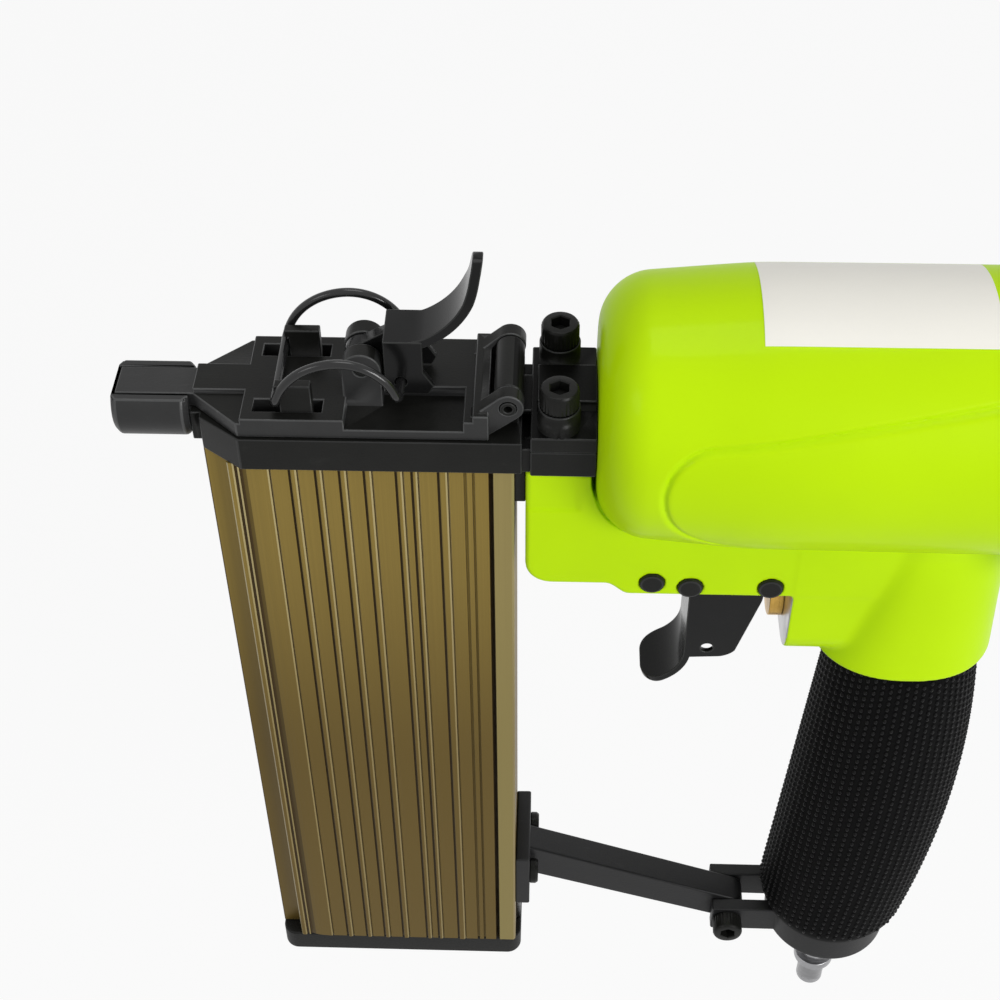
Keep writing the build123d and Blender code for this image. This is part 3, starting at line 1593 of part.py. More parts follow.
with BuildPart() as magazine_bracket:
    block((magazine_rear, plate_rear), (-bracket_plate_half, bracket_plate_half), bracket_z)
    with BuildSketch(across(bracket_half)):
        with Locations((bolt_x, bolt_z)):
            Circle(bracket_eye)
        with Locations((plate_rear - bracket_plate / 2, bracket_screw_z)):
            Rectangle(bracket_plate, bracket_arm)
        make_hull()
    extrude(amount=2 * bracket_half)
    rod_y((-chin_half, chin_half), m5_radius + fit, bolt_x, bolt_z, Mode.SUBTRACT)
    for side in (-1, 1):
        rod_x(
            (magazine_rear - over, plate_rear + over),
            m4_radius + fit,
            side * bracket_screw_y,
            bracket_screw_z,
            Mode.SUBTRACT,
        )
save(magazine_bracket.part, "magazine_bracket")

with BuildPart() as bracket_screws:
    for side in (-1, 1):
        seat = Plane(
            origin=(plate_rear, side * bracket_screw_y, bracket_screw_z),
            x_dir=(0, 1, 0),
            z_dir=(1, 0, 0),
        )
        screw = socket_screw(
            seat, m4_radius, bracket_screw_length, m4_head_radius, m4_head, m4_socket, m4_socket_depth
        )
        add(screw)
save(bracket_screws.part, "bracket_screws")

bolt_seat = Plane(origin=(bolt_x, -bracket_lug_y[1], bolt_z), x_dir=(1, 0, 0), z_dir=(0, -1, 0))
bracket_bolt = socket_screw(
    bolt_seat, m5_radius, 2 * bracket_lug_y[1], m5_head_radius, m5_head, m5_socket, m5_socket_depth
)
save(bracket_bolt, "bracket_bolt")
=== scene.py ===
import json
import math

import bmesh
import bpy
import numpy as np
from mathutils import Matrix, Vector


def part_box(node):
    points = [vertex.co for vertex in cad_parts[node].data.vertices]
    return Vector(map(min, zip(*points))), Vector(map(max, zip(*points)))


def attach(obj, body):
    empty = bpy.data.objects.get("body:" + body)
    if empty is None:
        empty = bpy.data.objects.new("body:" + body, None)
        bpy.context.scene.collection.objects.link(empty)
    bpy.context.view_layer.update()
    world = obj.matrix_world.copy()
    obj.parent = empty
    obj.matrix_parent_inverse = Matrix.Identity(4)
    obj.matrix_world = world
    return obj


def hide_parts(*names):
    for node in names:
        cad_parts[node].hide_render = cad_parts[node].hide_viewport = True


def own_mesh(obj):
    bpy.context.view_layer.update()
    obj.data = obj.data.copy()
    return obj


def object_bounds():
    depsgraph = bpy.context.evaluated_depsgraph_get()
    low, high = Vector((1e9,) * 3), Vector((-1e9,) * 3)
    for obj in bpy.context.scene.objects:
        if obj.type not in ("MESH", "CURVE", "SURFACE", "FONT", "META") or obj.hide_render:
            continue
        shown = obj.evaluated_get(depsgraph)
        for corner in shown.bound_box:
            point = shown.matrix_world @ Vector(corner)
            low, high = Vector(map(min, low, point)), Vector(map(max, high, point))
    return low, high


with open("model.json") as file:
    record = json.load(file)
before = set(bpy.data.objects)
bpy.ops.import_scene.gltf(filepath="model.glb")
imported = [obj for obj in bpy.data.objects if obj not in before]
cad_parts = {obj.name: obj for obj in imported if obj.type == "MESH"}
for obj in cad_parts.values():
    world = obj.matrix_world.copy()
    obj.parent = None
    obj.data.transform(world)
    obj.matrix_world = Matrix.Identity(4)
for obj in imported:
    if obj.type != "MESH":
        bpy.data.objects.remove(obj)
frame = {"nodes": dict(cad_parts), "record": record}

import openvdb
from mathutils import Matrix, Vector

cadBox = [list(corner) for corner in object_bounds()]
nodes = frame["nodes"]
mm = 0.001
weld = 2e-6  # points closer than this, in metres, are one
print("frame loaded:", len(nodes), "nodes")


# a socket that takes part in sums
class Wire:
    def __init__(self, tree, socket):
        self.tree = tree
        self.socket = socket

    def maths(self, operation, left, right):
        node = self.tree.nodes.new("ShaderNodeMath")
        node.operation = operation
        for slot, value in ((0, left), (1, right)):
            if isinstance(value, Wire):
                self.tree.links.new(value.socket, node.inputs[slot])
            else:
                node.inputs[slot].default_value = value
        return Wire(self.tree, node.outputs[0])

    def __add__(self, other):
        return self.maths("ADD", self, other)

    def __radd__(self, other):
        return self.maths("ADD", other, self)

    def __sub__(self, other):
        return self.maths("SUBTRACT", self, other)

    def __rsub__(self, other):
        return self.maths("SUBTRACT", other, self)

    def __mul__(self, other):
        return self.maths("MULTIPLY", self, other)

    def __rmul__(self, other):
        return self.maths("MULTIPLY", other, self)

    def __truediv__(self, other):
        return self.maths("DIVIDE", self, other)


# one way to add any node, in a shader or a geometry tree
class Tree:
    def __init__(self, tree):
        self.tree = tree

    def node(self, kind, settings=None, sockets=None, output=0):
        made = self.tree.nodes.new(kind)
        for name, value in (settings or {}).items():
            setattr(made, name, value)
        for name, value in (sockets or {}).items():
            if isinstance(value, Wire):
                self.tree.links.new(value.socket, made.inputs[name])
            else:
                made.inputs[name].default_value = value
        return Wire(self.tree, made.outputs[output])


# a material on one principled shader
class Finish(Tree):
    def __init__(self, name, **sockets):
        self.material = bpy.data.materials.new(name)
        self.material.use_nodes = True
        super().__init__(self.material.node_tree)
        self.shader = self.tree.nodes["Principled BSDF"]
        self.feed(**sockets)

    # socket names are written with _ for a space
    def feed(self, **sockets):
        for name, value in sockets.items():
            socket = self.shader.inputs[name.replace("_", " ")]
            if isinstance(value, Wire):
                self.tree.links.new(value.socket, socket)
            else:
                socket.default_value = value

    def place(self, stretch=(1, 1, 1)):
        spot = self.node("ShaderNodeTexCoord", output="Object")
        if stretch == (1, 1, 1):
            return spot
        return self.node("ShaderNodeMapping", sockets={"Vector": spot, "Scale": stretch})

    def noise(self, scale, detail=3.0, rough=0.5, stretch=(1, 1, 1)):
        return self.node("ShaderNodeTexNoise", sockets={
            "Vector": self.place(stretch), "Scale": scale, "Detail": detail, "Roughness": rough})

    def grains(self, scale):
        return self.node("ShaderNodeTexVoronoi", sockets={"Vector": self.place(), "Scale": scale})

    def band(self, value, low, high, start=0.0, stop=1.0):
        return self.node("ShaderNodeMapRange", {"interpolation_type": "SMOOTHSTEP"}, {
            "Value": value, "From Min": low, "From Max": high, "To Min": start, "To Max": stop})

    def blend(self, mask, first, second):
        return self.node("ShaderNodeMix", {"data_type": "RGBA"}, {0: mask, 6: first, 7: second}, 2)

    def bump(self, height, depth, strength):
        sockets = {"Height": height, "Distance": depth, "Strength": strength}
        return self.node("ShaderNodeBump", sockets=sockets)


def between(start, stop, part):
    return start + (stop - start) * part


def shade(colour, by):
    return tuple(min(1.0, part * by) for part in colour[:3]) + (1.0,)


# painted casting: gloss coat, faint orange peel, slightly uneven colour
def paintFinish(name, spec):
    finish = Finish(name, Coat_Weight=spec["coat"], Coat_Roughness=0.08, Specular_IOR_Level=spec["shine"])
    tint = spec["colour"]
    cloud = finish.noise(26.0, 2.0)
    peel = finish.noise(420.0, 2.0, 0.45)
    speck = finish.noise(2600.0, 1.0)
    colour = finish.blend(finish.band(cloud, 0.3, 0.7), shade(tint, 0.965), shade(tint, 1.02))
    colour = finish.blend(finish.band(speck, 0.62, 0.8) * 0.12, colour, shade(tint, 0.8))
    rough = 0.30 + 0.10 * cloud + 0.06 * peel
    relief = finish.bump(peel + 0.2 * speck, 0.00012, 0.35)
    finish.feed(Base_Color=colour, Roughness=rough, Normal=relief)
    return finish.material


# black oxide or black plating on steel: satin, with fine mottling and light scuffs
def blackFinish(name, spec):
    finish = Finish(name, Specular_IOR_Level=spec["shine"], Metallic=spec["metal"])
    tint = spec["colour"]
    mottle = finish.noise(160.0, 4.0, 0.6)
    grain = finish.noise(1900.0, 2.0, 0.6)
    scuff = finish.noise(90.0, 5.0, 0.7, (1.0, 6.0, 1.0))
    worn = finish.band(scuff, 0.60, 0.78)
    colour = finish.blend(mottle, shade(tint, 0.75), shade(tint, 1.3))
    colour = finish.blend(worn * spec["wear"], colour, shade(tint, 3.0))
    rough = spec["rough"] + 0.14 * (mottle - 0.5) + 0.08 * (grain - 0.5)
    relief = finish.bump(grain + 0.6 * mottle, 0.00006, spec["grain"])
    finish.feed(Base_Color=colour, Roughness=rough, Normal=relief)
    return finish.material


# drawn and anodised aluminium: die lines run along the extrusion
def anodisedFinish(name, spec):
    finish = Finish(name, Metallic=spec["metal"], Specular_IOR_Level=0.12)
    tint = spec["colour"]
    line = finish.noise(1.0, 3.0, 0.6, spec["drawn"])
    broad = finish.noise(1.0, 2.0, 0.5, tuple(part * 0.16 for part in spec["drawn"]))
    grain = finish.noise(3200.0, 1.0)
    colour = finish.blend(finish.band(line, 0.25, 0.75), shade(tint, 0.94), shade(tint, 1.06))
    colour = finish.blend(finish.band(broad, 0.35, 0.7) * 0.4, colour, shade(tint, 0.92))
    # painted shade: towards the bottom the colour fades to a darker, redder bronze, standing in for a dimmer
    # reflection
    height = finish.node("ShaderNodeSeparateXYZ", sockets={"Vector": finish.place()}, output="Z")
    shadeMask = finish.band(height, *shadeHeights, 1.0, 0.0)
    colour = finish.blend(shadeMask, colour, shade(spec["shadedBelow"], 1.0))
    rough = spec["rough"] + 0.08 * (line - 0.5) + 0.05 * grain
    relief = finish.bump(line + 0.25 * grain, 0.00002, 0.4)
    finish.feed(Base_Color=colour, Roughness=rough, Normal=relief)
    return finish.material


# moulded plastic and rubber: fine spark grain
def mouldedFinish(name, spec):
    finish = Finish(name, Specular_IOR_Level=spec["shine"])
    tint = spec["colour"]
    grain = finish.noise(spec["grainScale"], 3.0, 0.6)
    cell = finish.grains(spec["grainScale"] * 0.6)
    dust = finish.noise(70.0, 4.0, 0.65)
    colour = finish.blend(finish.band(grain, 0.3, 0.7), shade(tint, 0.7), shade(tint, 1.25))
    colour = finish.blend(finish.band(dust, 0.55, 0.8) * 0.25, colour, shade(tint, 2.2))
    rough = spec["rough"] + 0.16 * (grain - 0.5)
    relief = finish.bump(grain + 0.5 * cell, 0.0001, spec["grain"])
    finish.feed(Base_Color=colour, Roughness=rough, Normal=relief)
    return finish.material


# turned or ground bare metal: fine tool marks across one axis
def machinedFinish(name, spec):
    finish = Finish(name, Metallic=1.0, Specular_IOR_Level=0.5)
    tint = spec["colour"]
    mark = finish.noise(1.0, 2.0, 0.6, spec["marks"])
    stain = finish.noise(210.0, 4.0, 0.6)
    colour = finish.blend(finish.band(stain, 0.3, 0.8), shade(tint, 1.05), shade(tint, 0.78))
    colour = finish.blend(finish.band(mark, 0.45, 0.7) * 0.35, colour, shade(tint, 0.7))
    rough = spec["rough"] + 0.16 * (mark - 0.5) + 0.12 * (stain - 0.5)
    relief = finish.bump(mark, 0.00004, 0.5)
    finish.feed(Base_Color=colour, Roughness=rough, Normal=relief)
    return finish.material


# plain coated paper of a blank sticker
def paperFinish(name, spec):
    finish = Finish(name, Coat_Weight=0.1, Coat_Roughness=0.2, Specular_IOR_Level=0.2)
    tint = spec["colour"]
    fibre = finish.noise(900.0, 4.0, 0.6)
    cloud = finish.noise(60.0, 3.0)
    colour = finish.blend(cloud * 0.6 + fibre * 0.3, shade(tint, 1.0), shade(tint, 0.93))
    relief = finish.bump(fibre, 0.00003, 0.3)
    finish.feed(Base_Color=colour, Roughness=0.38 + 0.1 * fibre, Normal=relief)
    return finish.material


oxide = {"colour": (0.0085, 0.0086, 0.0078), "shine": 0.13, "metal": 0.0, "rough": 0.34, "wear": 0.35,
         "grain": 0.5}
phosphate = dict(oxide, colour=(0.0195, 0.0197, 0.0198), shine=0.26, rough=0.4)
shadeHeights = (-0.118, -0.012)  # heights between which the bronze is painted darker and redder downwards: painted shade
bronze = {"colour": (0.248, 0.175, 0.042), "metal": 0.35, "rough": 0.42, "drawn": (2600.0, 2600.0, 6.0),
          "shadedBelow": (0.130, 0.086, 0.019)}
gum = {"colour": (0.0022, 0.0022, 0.0023), "shine": 0.035, "rough": 0.55, "grainScale": 1500.0, "grain": 0.7}

greenPaint = paintFinish("greenPaint", {"colour": (0.505, 0.790, 0.0018), "coat": 0.06, "shine": 0.05})
blackOxide = blackFinish("blackOxide", oxide)
# lighter copies of the black finishes for bevelled edges: painted highlight
blackOxideEdge = blackFinish("blackOxideEdge", dict(
    oxide, colour=(0.017, 0.0175, 0.017), shine=0.24, rough=0.32, wear=0.5))
blackDeep = blackFinish("blackDeep", dict(oxide, colour=(0.0032, 0.0032, 0.003), shine=0.06))
blackGloss = blackFinish("blackGloss", dict(
    oxide, colour=(0.0062, 0.0063, 0.0064), shine=0.15, rough=0.2, wear=0.15, grain=0.15))
blackWire = blackFinish("blackWire", dict(
    oxide, colour=(0.012, 0.012, 0.0122), shine=0.4, rough=0.16, wear=0.2, grain=0.1))
greyPhosphate = blackFinish("greyPhosphate", phosphate)
greyPhosphateEdge = blackFinish("greyPhosphateEdge", dict(phosphate, colour=(0.042, 0.043, 0.043), shine=0.4))
bronzeAnodised = anodisedFinish("bronzeAnodised", bronze)
# a lighter bronze for lips and edges that catch the light: painted highlight
bronzeRim = anodisedFinish("bronzeRim", dict(
    bronze, colour=(0.42, 0.345, 0.165), rough=0.3, shadedBelow=(0.26, 0.2, 0.08)))
bronzeStrip = anodisedFinish("bronzeStrip", dict(
    bronze, colour=(0.285, 0.228, 0.086), shadedBelow=(0.25, 0.2, 0.072)))
# a dark bronze for groove floors and the rail's left edge: painted shade
bronzeGroove = anodisedFinish("bronzeGroove", dict(
    bronze, colour=(0.060, 0.037, 0.011), metal=0.0, shadedBelow=(0.05, 0.03, 0.008)))
# a darker bronze for the slope beside the lip: painted shade
bronzeRamp = anodisedFinish("bronzeRamp", dict(bronze, colour=(0.125, 0.085, 0.02), shadedBelow=(0.07, 0.045, 0.01)))
blackPlastic = mouldedFinish("blackPlastic", {
    "colour": (0.010, 0.010, 0.0092), "shine": 0.15, "rough": 0.5, "grainScale": 2400.0, "grain": 0.5})
blackAlloy = blackFinish("blackAlloy", {
    "colour": (0.013, 0.013, 0.0135), "shine": 0.2, "metal": 0.1, "rough": 0.44, "wear": 0.3, "grain": 0.6})
gripRubber = mouldedFinish("gripRubber", gum)
# the raised dashes take a lighter, shinier copy of the grip rubber: painted highlight
gripDash = mouldedFinish("gripDash", dict(gum, colour=(0.0045, 0.0045, 0.0048), shine=0.11, rough=0.4))
sealRubber = mouldedFinish("sealRubber", dict(gum, colour=(0.012, 0.012, 0.012), rough=0.42))
turnedBrass = machinedFinish("turnedBrass", {
    "colour": (0.60, 0.37, 0.09), "rough": 0.28, "marks": (2600.0, 60.0, 60.0)})
bareAlloy = machinedFinish("bareAlloy", {
    "colour": (0.62, 0.62, 0.63), "rough": 0.32, "marks": (1800.0, 80.0, 80.0)})
bareSteel = machinedFinish("bareSteel", {
    "colour": (0.36, 0.36, 0.37), "rough": 0.3, "marks": (80.0, 80.0, 2200.0)})
stickerPaper = paperFinish("stickerPaper", {"colour": (0.88, 0.86, 0.79)})

slotFinish = {
    "green_paint": greenPaint, "black_steel": blackOxide, "bronze_anodised": bronzeAnodised,
    "black_plastic": blackPlastic, "black_aluminium": blackAlloy, "black_rubber": gripRubber,
    "seal_rubber": sealRubber, "brass": turnedBrass, "bare_aluminium": bareAlloy, "bare_steel": bareSteel,
}
nodeSlot = {entry["node"]: entry["material_slot"] for entry in frame["record"]["subparts"]}
nodeBody = {node: body for body, group in frame["record"]["behaviour"]["bodies"].items() for node in group}
for name, node in nodes.items():
    node.data.materials.clear()
    node.data.materials.append(blackWire if name == "latch_bail" else slotFinish[nodeSlot[name]])


# a new object at the origin, from a mesh in metres
def newPiece(name, mesh, finishes):
    piece = bpy.data.objects.new(name, mesh)
    bpy.context.scene.collection.objects.link(piece)
    # clear also resets the faces' finishes
    if mesh.materials:
        mesh.materials.clear()
    for finish in finishes:
        mesh.materials.append(finish)
    return piece


# turns the modifiers into plain mesh
def settle(piece):
    bpy.context.view_layer.update()
    depsgraph = bpy.context.evaluated_depsgraph_get()
    mesh = bpy.data.meshes.new_from_object(piece.evaluated_get(depsgraph))
    old = piece.data
    piece.modifiers.clear()
    piece.data = mesh
    bpy.data.meshes.remove(old)
    return piece


# the piece stands for CAD nodes and rides on their body
def standFor(piece, *names):
    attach(piece, nodeBody[names[0]])
    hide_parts(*names)
    return piece


# a CAD node's mesh with its faces joined up, open for changes
def openNode(node):
    work = bmesh.new()
    work.from_mesh(nodes[node].data)
    bmesh.ops.remove_doubles(work, verts=work.verts, dist=weld)
    return work


# angles in degrees, a shoulder's share of the width, how near an edge is to it in mm
edgeRule = {"flat": 0.4, "sharp": 32.0, "share": 0.15, "near": 0.1, "flatWeight": 100}


# a CAD shape with its outer edges broken as a deburred or cast part has them
def softEdges(node, width, finish, edgeHighlight=None, name=None, steps=2, change=None, miter="MITER_ARC",
              shoulder=None):
    mesh = nodes[node].data.copy()
    work = openNode(node)
    flat = math.radians(edgeRule["flat"])
    bmesh.ops.dissolve_limit(work, angle_limit=flat, verts=work.verts, edges=work.edges)
    if change:
        change(work)
    work.normal_update()
    weight = work.edges.layers.float.new("bevel_weight_edge")
    for edge in work.edges:
        if edge.is_manifold and edge.calc_face_angle_signed(0.0) > math.radians(edgeRule["sharp"]):
            spots = [vert.co.x / mm for vert in edge.verts]
            thin = shoulder and all(abs(spot - shoulder) < edgeRule["near"] for spot in spots)
            edge[weight] = edgeRule["share"] if thin else 1.0
    work.to_mesh(mesh)
    work.free()
    piece = newPiece(name or node.replace("_", "") + "Soft", mesh, [finish, edgeHighlight or finish])
    bevel = piece.modifiers.new("brokenEdge", "BEVEL")
    bevel.width = width * mm
    bevel.segments = steps
    bevel.limit_method = "WEIGHT"
    bevel.use_clamp_overlap = False
    bevel.miter_outer = miter
    # the bevel faces take the edge finish when one is given: a lighter colour, painted highlight on the edges
    if edgeHighlight:
        bevel.material = 1
    even = piece.modifiers.new("flatFaces", "WEIGHTED_NORMAL")
    even.weight = edgeRule["flatWeight"]
    mesh.shade_smooth()
    return standFor(settle(piece), node)


# one row of faces between two rings
def joinRings(work, lower, upper):
    for step in range(len(lower)):
        after = (step + 1) % len(lower)
        work.faces.new((lower[step], lower[after], upper[after], upper[step]))


# a round piece from rings of (height, reach) about Z, in mm
def turned(work, rings, count):
    rows = []
    for height, reach in rings:
        row = []
        for step in range(count):
            turn = 2 * math.pi * step / count
            radius = reach(turn, step) if callable(reach) else reach
            spot = Vector((radius * math.cos(turn), radius * math.sin(turn), height))
            row.append(work.verts.new(spot * mm))
        rows.append(row)
    for lower, upper in zip(rows, rows[1:]):
        joinRings(work, lower, upper)
    work.faces.new(rows[0][::-1])
    work.faces.new(rows[-1])


# closes a bmesh into a mesh whose faces point outwards
def meshFrom(work, name):
    bmesh.ops.recalc_face_normals(work, faces=work.faces)
    mesh = bpy.data.meshes.new(name)
    work.to_mesh(mesh)
    work.free()
    return mesh


# the photograph's camera
view = {
    "place": (0.09624, -0.28912, 0.25404), "forward": (-0.02842, 0.71261, -0.70098),
    "right": (0.99945, 0.03234, -0.00765), "lens": 62.67, "sensor": 36.0,
}
forward = Vector(view["forward"]).normalized()
right = Vector(view["right"])
right = (right - forward * right.dot(forward)).normalized()
up = right.cross(forward)
camera = bpy.data.objects.new("photoCamera", bpy.data.cameras.new("photoCamera"))
camera.data.lens = view["lens"]
camera.data.sensor_width = view["sensor"]
camera.data.clip_start = 0.01
turn = Matrix((right, up, -forward)).transposed().to_4x4()
camera.matrix_world = Matrix.Translation(Vector(view["place"])) @ turn
bpy.context.scene.collection.objects.link(camera)
bpy.context.scene.camera = camera


# casting: barrel, chin, valve block and handle root, blended as a mould leaves them
casting = {
    "voxel": 0.48, "front": 106.4, "rear": 216.0, "radius": 31.5, "frontRadius": 28.6, "frontRound": 11.0,
    "swell": 33.6, "flange": 10.0, "flangeHalf": 31.0, "flangeCorner": 14.0,
    "leafTip": 120.2, "leafRear": 198.0, "leafUp": (10.6, 12.0, 0.158), "leafDown": (19.8, 19.5, 0.0714),
    "leafRise": 0.2, "leafGroove": 0.85,
    "chinFront": 90.9, "shelf": -7.7, "chinFoot": -42.6, "chinRound": 6.0, "step": (109.4, 115.0),
    "flangeFoot": -46.0, "half": 15.0, "edge": 1.2, "inside": -15.0,
    "face": 153.0, "blockTop": -30.0, "blockFoot": -68.5, "blockRound": 9.0,
    "root": 182.4, "rootFoot": -69.0, "rootHalf": (22.4, 20.6), "rootTop": (20.5, 16.2), "rootLead": 12.0,
    "rootTopZ": -32.0, "rootPower": 2.3,
    "grip": 184.6, "foot": 180.2, "core": 14.5, "coreFoot": -188.0, "coreStraight": -175.0, "coreLap": 8.0,
    "coreRound": 96,
    "flangeEdge": 1.0, "flangeBlend": 2.0, "faceEdge": 0.5, "blockBlend": 0.6, "rootEdge": 0.9,
    "rootBlend": 0.9, "seamBlend": 0.3, "barrelBlend": 1.5, "blendFrom": -11.0, "blendOver": 9.0,
    "crevice": (1.1, 116.0), "seam": (0.6, 13.6, 112.0, 150.0), "seamSkin": 0.6,
    "crease": (-19.1, 103.5, 0.6), "creaseEase": (0.4, 1.5),
    "chamber": (27.0, 118.0), "cylinder": (20.55, 112.4), "driveHole": (3.0, 114.0), "hollow": (9.5, 10.5),
    "valveHole": (-59.0, 5.45), "slotMiddle": (133.75, -40.5), "slotHalf": (19.25, 9.6, 6.5), "pinHole": 3.0,
    "noseHole": (98.0, 10.9, 2.55), "noseHoleZ": (-15.0, 8.0), "capHole": (22.6, 2.45, 206.5),
    "margin": (3.37, 3.0), "reach": 4.0, "triangles": 180000, "bareDeep": 0.6, "bareFacing": 0.8,
}


def roundJoin(first, second, radius):
    near = np.maximum(radius - first, 0)
    far = np.maximum(radius - second, 0)
    return np.maximum(radius, np.minimum(first, second)) - np.sqrt(near * near + far * far)


def roundTrim(first, second, radius):
    return -roundJoin(-first, -second, radius)


# signed distance to a closed outline in a plane, negative inside
def outlineDistance(points, u, v):
    shape = np.broadcast(u, v).shape
    best = np.full(shape, 1e9, np.float32)
    inside = np.zeros(shape, bool)
    for (u0, v0), (u1, v1) in zip(points, points[1:] + points[:1]):
        du = u1 - u0
        dv = v1 - v0
        part = np.clip(((u - u0) * du + (v - v0) * dv) / (du * du + dv * dv), 0, 1)
        best = np.minimum(best, (u - u0 - du * part) ** 2 + (v - v0 - dv * part) ** 2)
        if dv:
            inside ^= ((v0 > v) != (v1 > v)) & (u < u0 + du * (v - v0) / dv)
    return np.where(inside, -1, 1) * np.sqrt(best)


# distance to a box with one rounded corner, from the distances to its sides
def cornerDistance(first, second, radius):
    outer = np.hypot(np.maximum(first, 0), np.maximum(second, 0))
    return outer + np.minimum(np.maximum(first, second), 0) - radius


# radius of the barrel's wall along its length
def barrelWall(c, x):
    lead = (c["front"] + c["swell"] - x) / c["swell"]
    lead = 0.5 * (lead + np.sqrt(lead * lead + 0.01))
    return c["radius"] - (c["radius"] - c["frontRadius"]) * lead


# the leaf panel's height on the barrel's side: a low step inside a narrow groove
def leafHeight(c, xs, zs):
    fine = 4
    step = c["voxel"] / fine
    u = (xs[0] + np.arange(len(xs) * fine) * step - c["leafTip"])[:, None]
    v = (zs[0] + np.arange(len(zs) * fine) * step)[None, :]

    def edge(length, height, slope):
        nose = np.clip(u / length, 0, 1)
        return height * np.sqrt(1 - (1 - nose) ** 2) + slope * np.maximum(u - length, 0)

    inside = (u > 0) & (u < c["leafRear"] - c["leafTip"])
    leaf = (inside & (v < edge(*c["leafUp"])) & (v > -edge(*c["leafDown"]))).astype(np.float32)
    for axis in (0, 1) * 7:
        leaf = sum(np.roll(leaf, shift, axis) for shift in (-2, -1, 0, 1, 2)) / 5
    leaf = leaf[::fine, ::fine]
    return c["leafRise"] * leaf - c["leafGroove"] * 4 * leaf * (1 - leaf)


# the whole casting as one distance, negative inside the metal
def castingDistance(c, xs, ys, zs):
    x = xs[:, None, None]
    y = ys[None, :, None]
    z = zs[None, None, :]
    around = np.sqrt(y * y + z * z)
    wall = barrelWall(c, x) + leafHeight(c, xs, zs)[:, None, :]
    ahead = c["front"] + c["frontRound"] - x
    beyond = around - (wall - c["frontRound"])
    barrel = np.maximum(cornerDistance(ahead, beyond, c["frontRound"]), x - c["rear"])
    side = np.abs(y) - (c["flangeHalf"] - c["flangeCorner"])
    rise = np.abs(z) - (c["flangeHalf"] - c["flangeCorner"])
    slab = np.abs(x - c["rear"] + c["flange"] / 2) - c["flange"] / 2
    flange = roundTrim(cornerDistance(side, rise, c["flangeCorner"]), slab, c["flangeEdge"])
    body = roundJoin(barrel, flange, c["flangeBlend"])

    corner = []
    for angle in range(180, 271, 15):
        corner.append((c["chinFront"] + c["chinRound"] * (1 + math.cos(math.radians(angle))),
                       c["chinFoot"] + c["chinRound"] * (1 + math.sin(math.radians(angle)))))
    for part in range(11):
        ease = 0.5 - 0.5 * math.cos(math.pi * part / 10)
        corner.append((between(*c["step"], part / 10), between(c["chinFoot"], c["flangeFoot"], ease)))
    chinLine = [(c["chinFront"], c["shelf"])] + corner + [
        (c["root"], c["flangeFoot"]), (c["root"], c["inside"]),
        (c["front"] + c["frontRound"], c["inside"]), (c["front"] + c["frontRound"], c["shelf"]),
    ]
    level, ahead, sunk = c["crease"]
    easeUp, easeAlong = c["creaseEase"]
    half = c["half"] - sunk * np.clip((z - level) / easeUp, 0, 1) * np.clip((ahead - x) / easeAlong, 0, 1)
    chin = roundTrim(outlineDistance(chinLine, x[:, 0, :], z[0])[:, None, :], np.abs(y) - half, c["edge"])
    side = np.abs(y) - (c["half"] - c["blockRound"])
    drop = c["blockFoot"] + c["blockRound"] - z
    under = np.maximum(cornerDistance(side, drop, c["blockRound"]), z - c["blockTop"])
    block = np.maximum(roundTrim(under, c["face"] - x, c["faceEdge"]), x - c["root"])
    lower = roundJoin(chin, block, c["blockBlend"])
    lift = np.clip((z - c["rootFoot"]) / (c["rootTopZ"] - c["rootFoot"]), 0, 1)
    reach = np.where(x < c["root"], c["rootLead"], c["rootTop"][0])
    halfX = between(c["rootHalf"][0], reach, lift)
    halfY = between(c["rootHalf"][1], c["rootTop"][1], lift)
    power = c["rootPower"]
    oval = (np.abs((x - c["root"]) / halfX) ** power + np.abs(y / halfY) ** power) ** (1 / power)
    oval = np.maximum((oval - 1) * halfY, z - c["inside"])
    lower = roundJoin(lower, roundTrim(oval, c["rootFoot"] - z, c["rootEdge"]), c["rootBlend"])
    depth = np.clip((c["blendFrom"] - z) / c["blendOver"], 0, 1)
    wide, skin, dark, faint = c["seam"]
    seam = wide * np.clip((faint - x) / (faint - dark), 0, 1)
    seam = seam * np.clip((np.abs(y) - skin) / c["seamSkin"], 0, 1)
    gap, gapEnd = c["crevice"]
    lower = np.maximum(lower, np.maximum(gap * (1 - depth) * (x < gapEnd), seam) - barrel)
    blend = between(c["seamBlend"], c["barrelBlend"], depth * (1 - seam / wide))
    body = roundJoin(body, lower, blend)
    for space in hollows(c, x, y, z, around):
        body = np.maximum(body, -space)
    return body


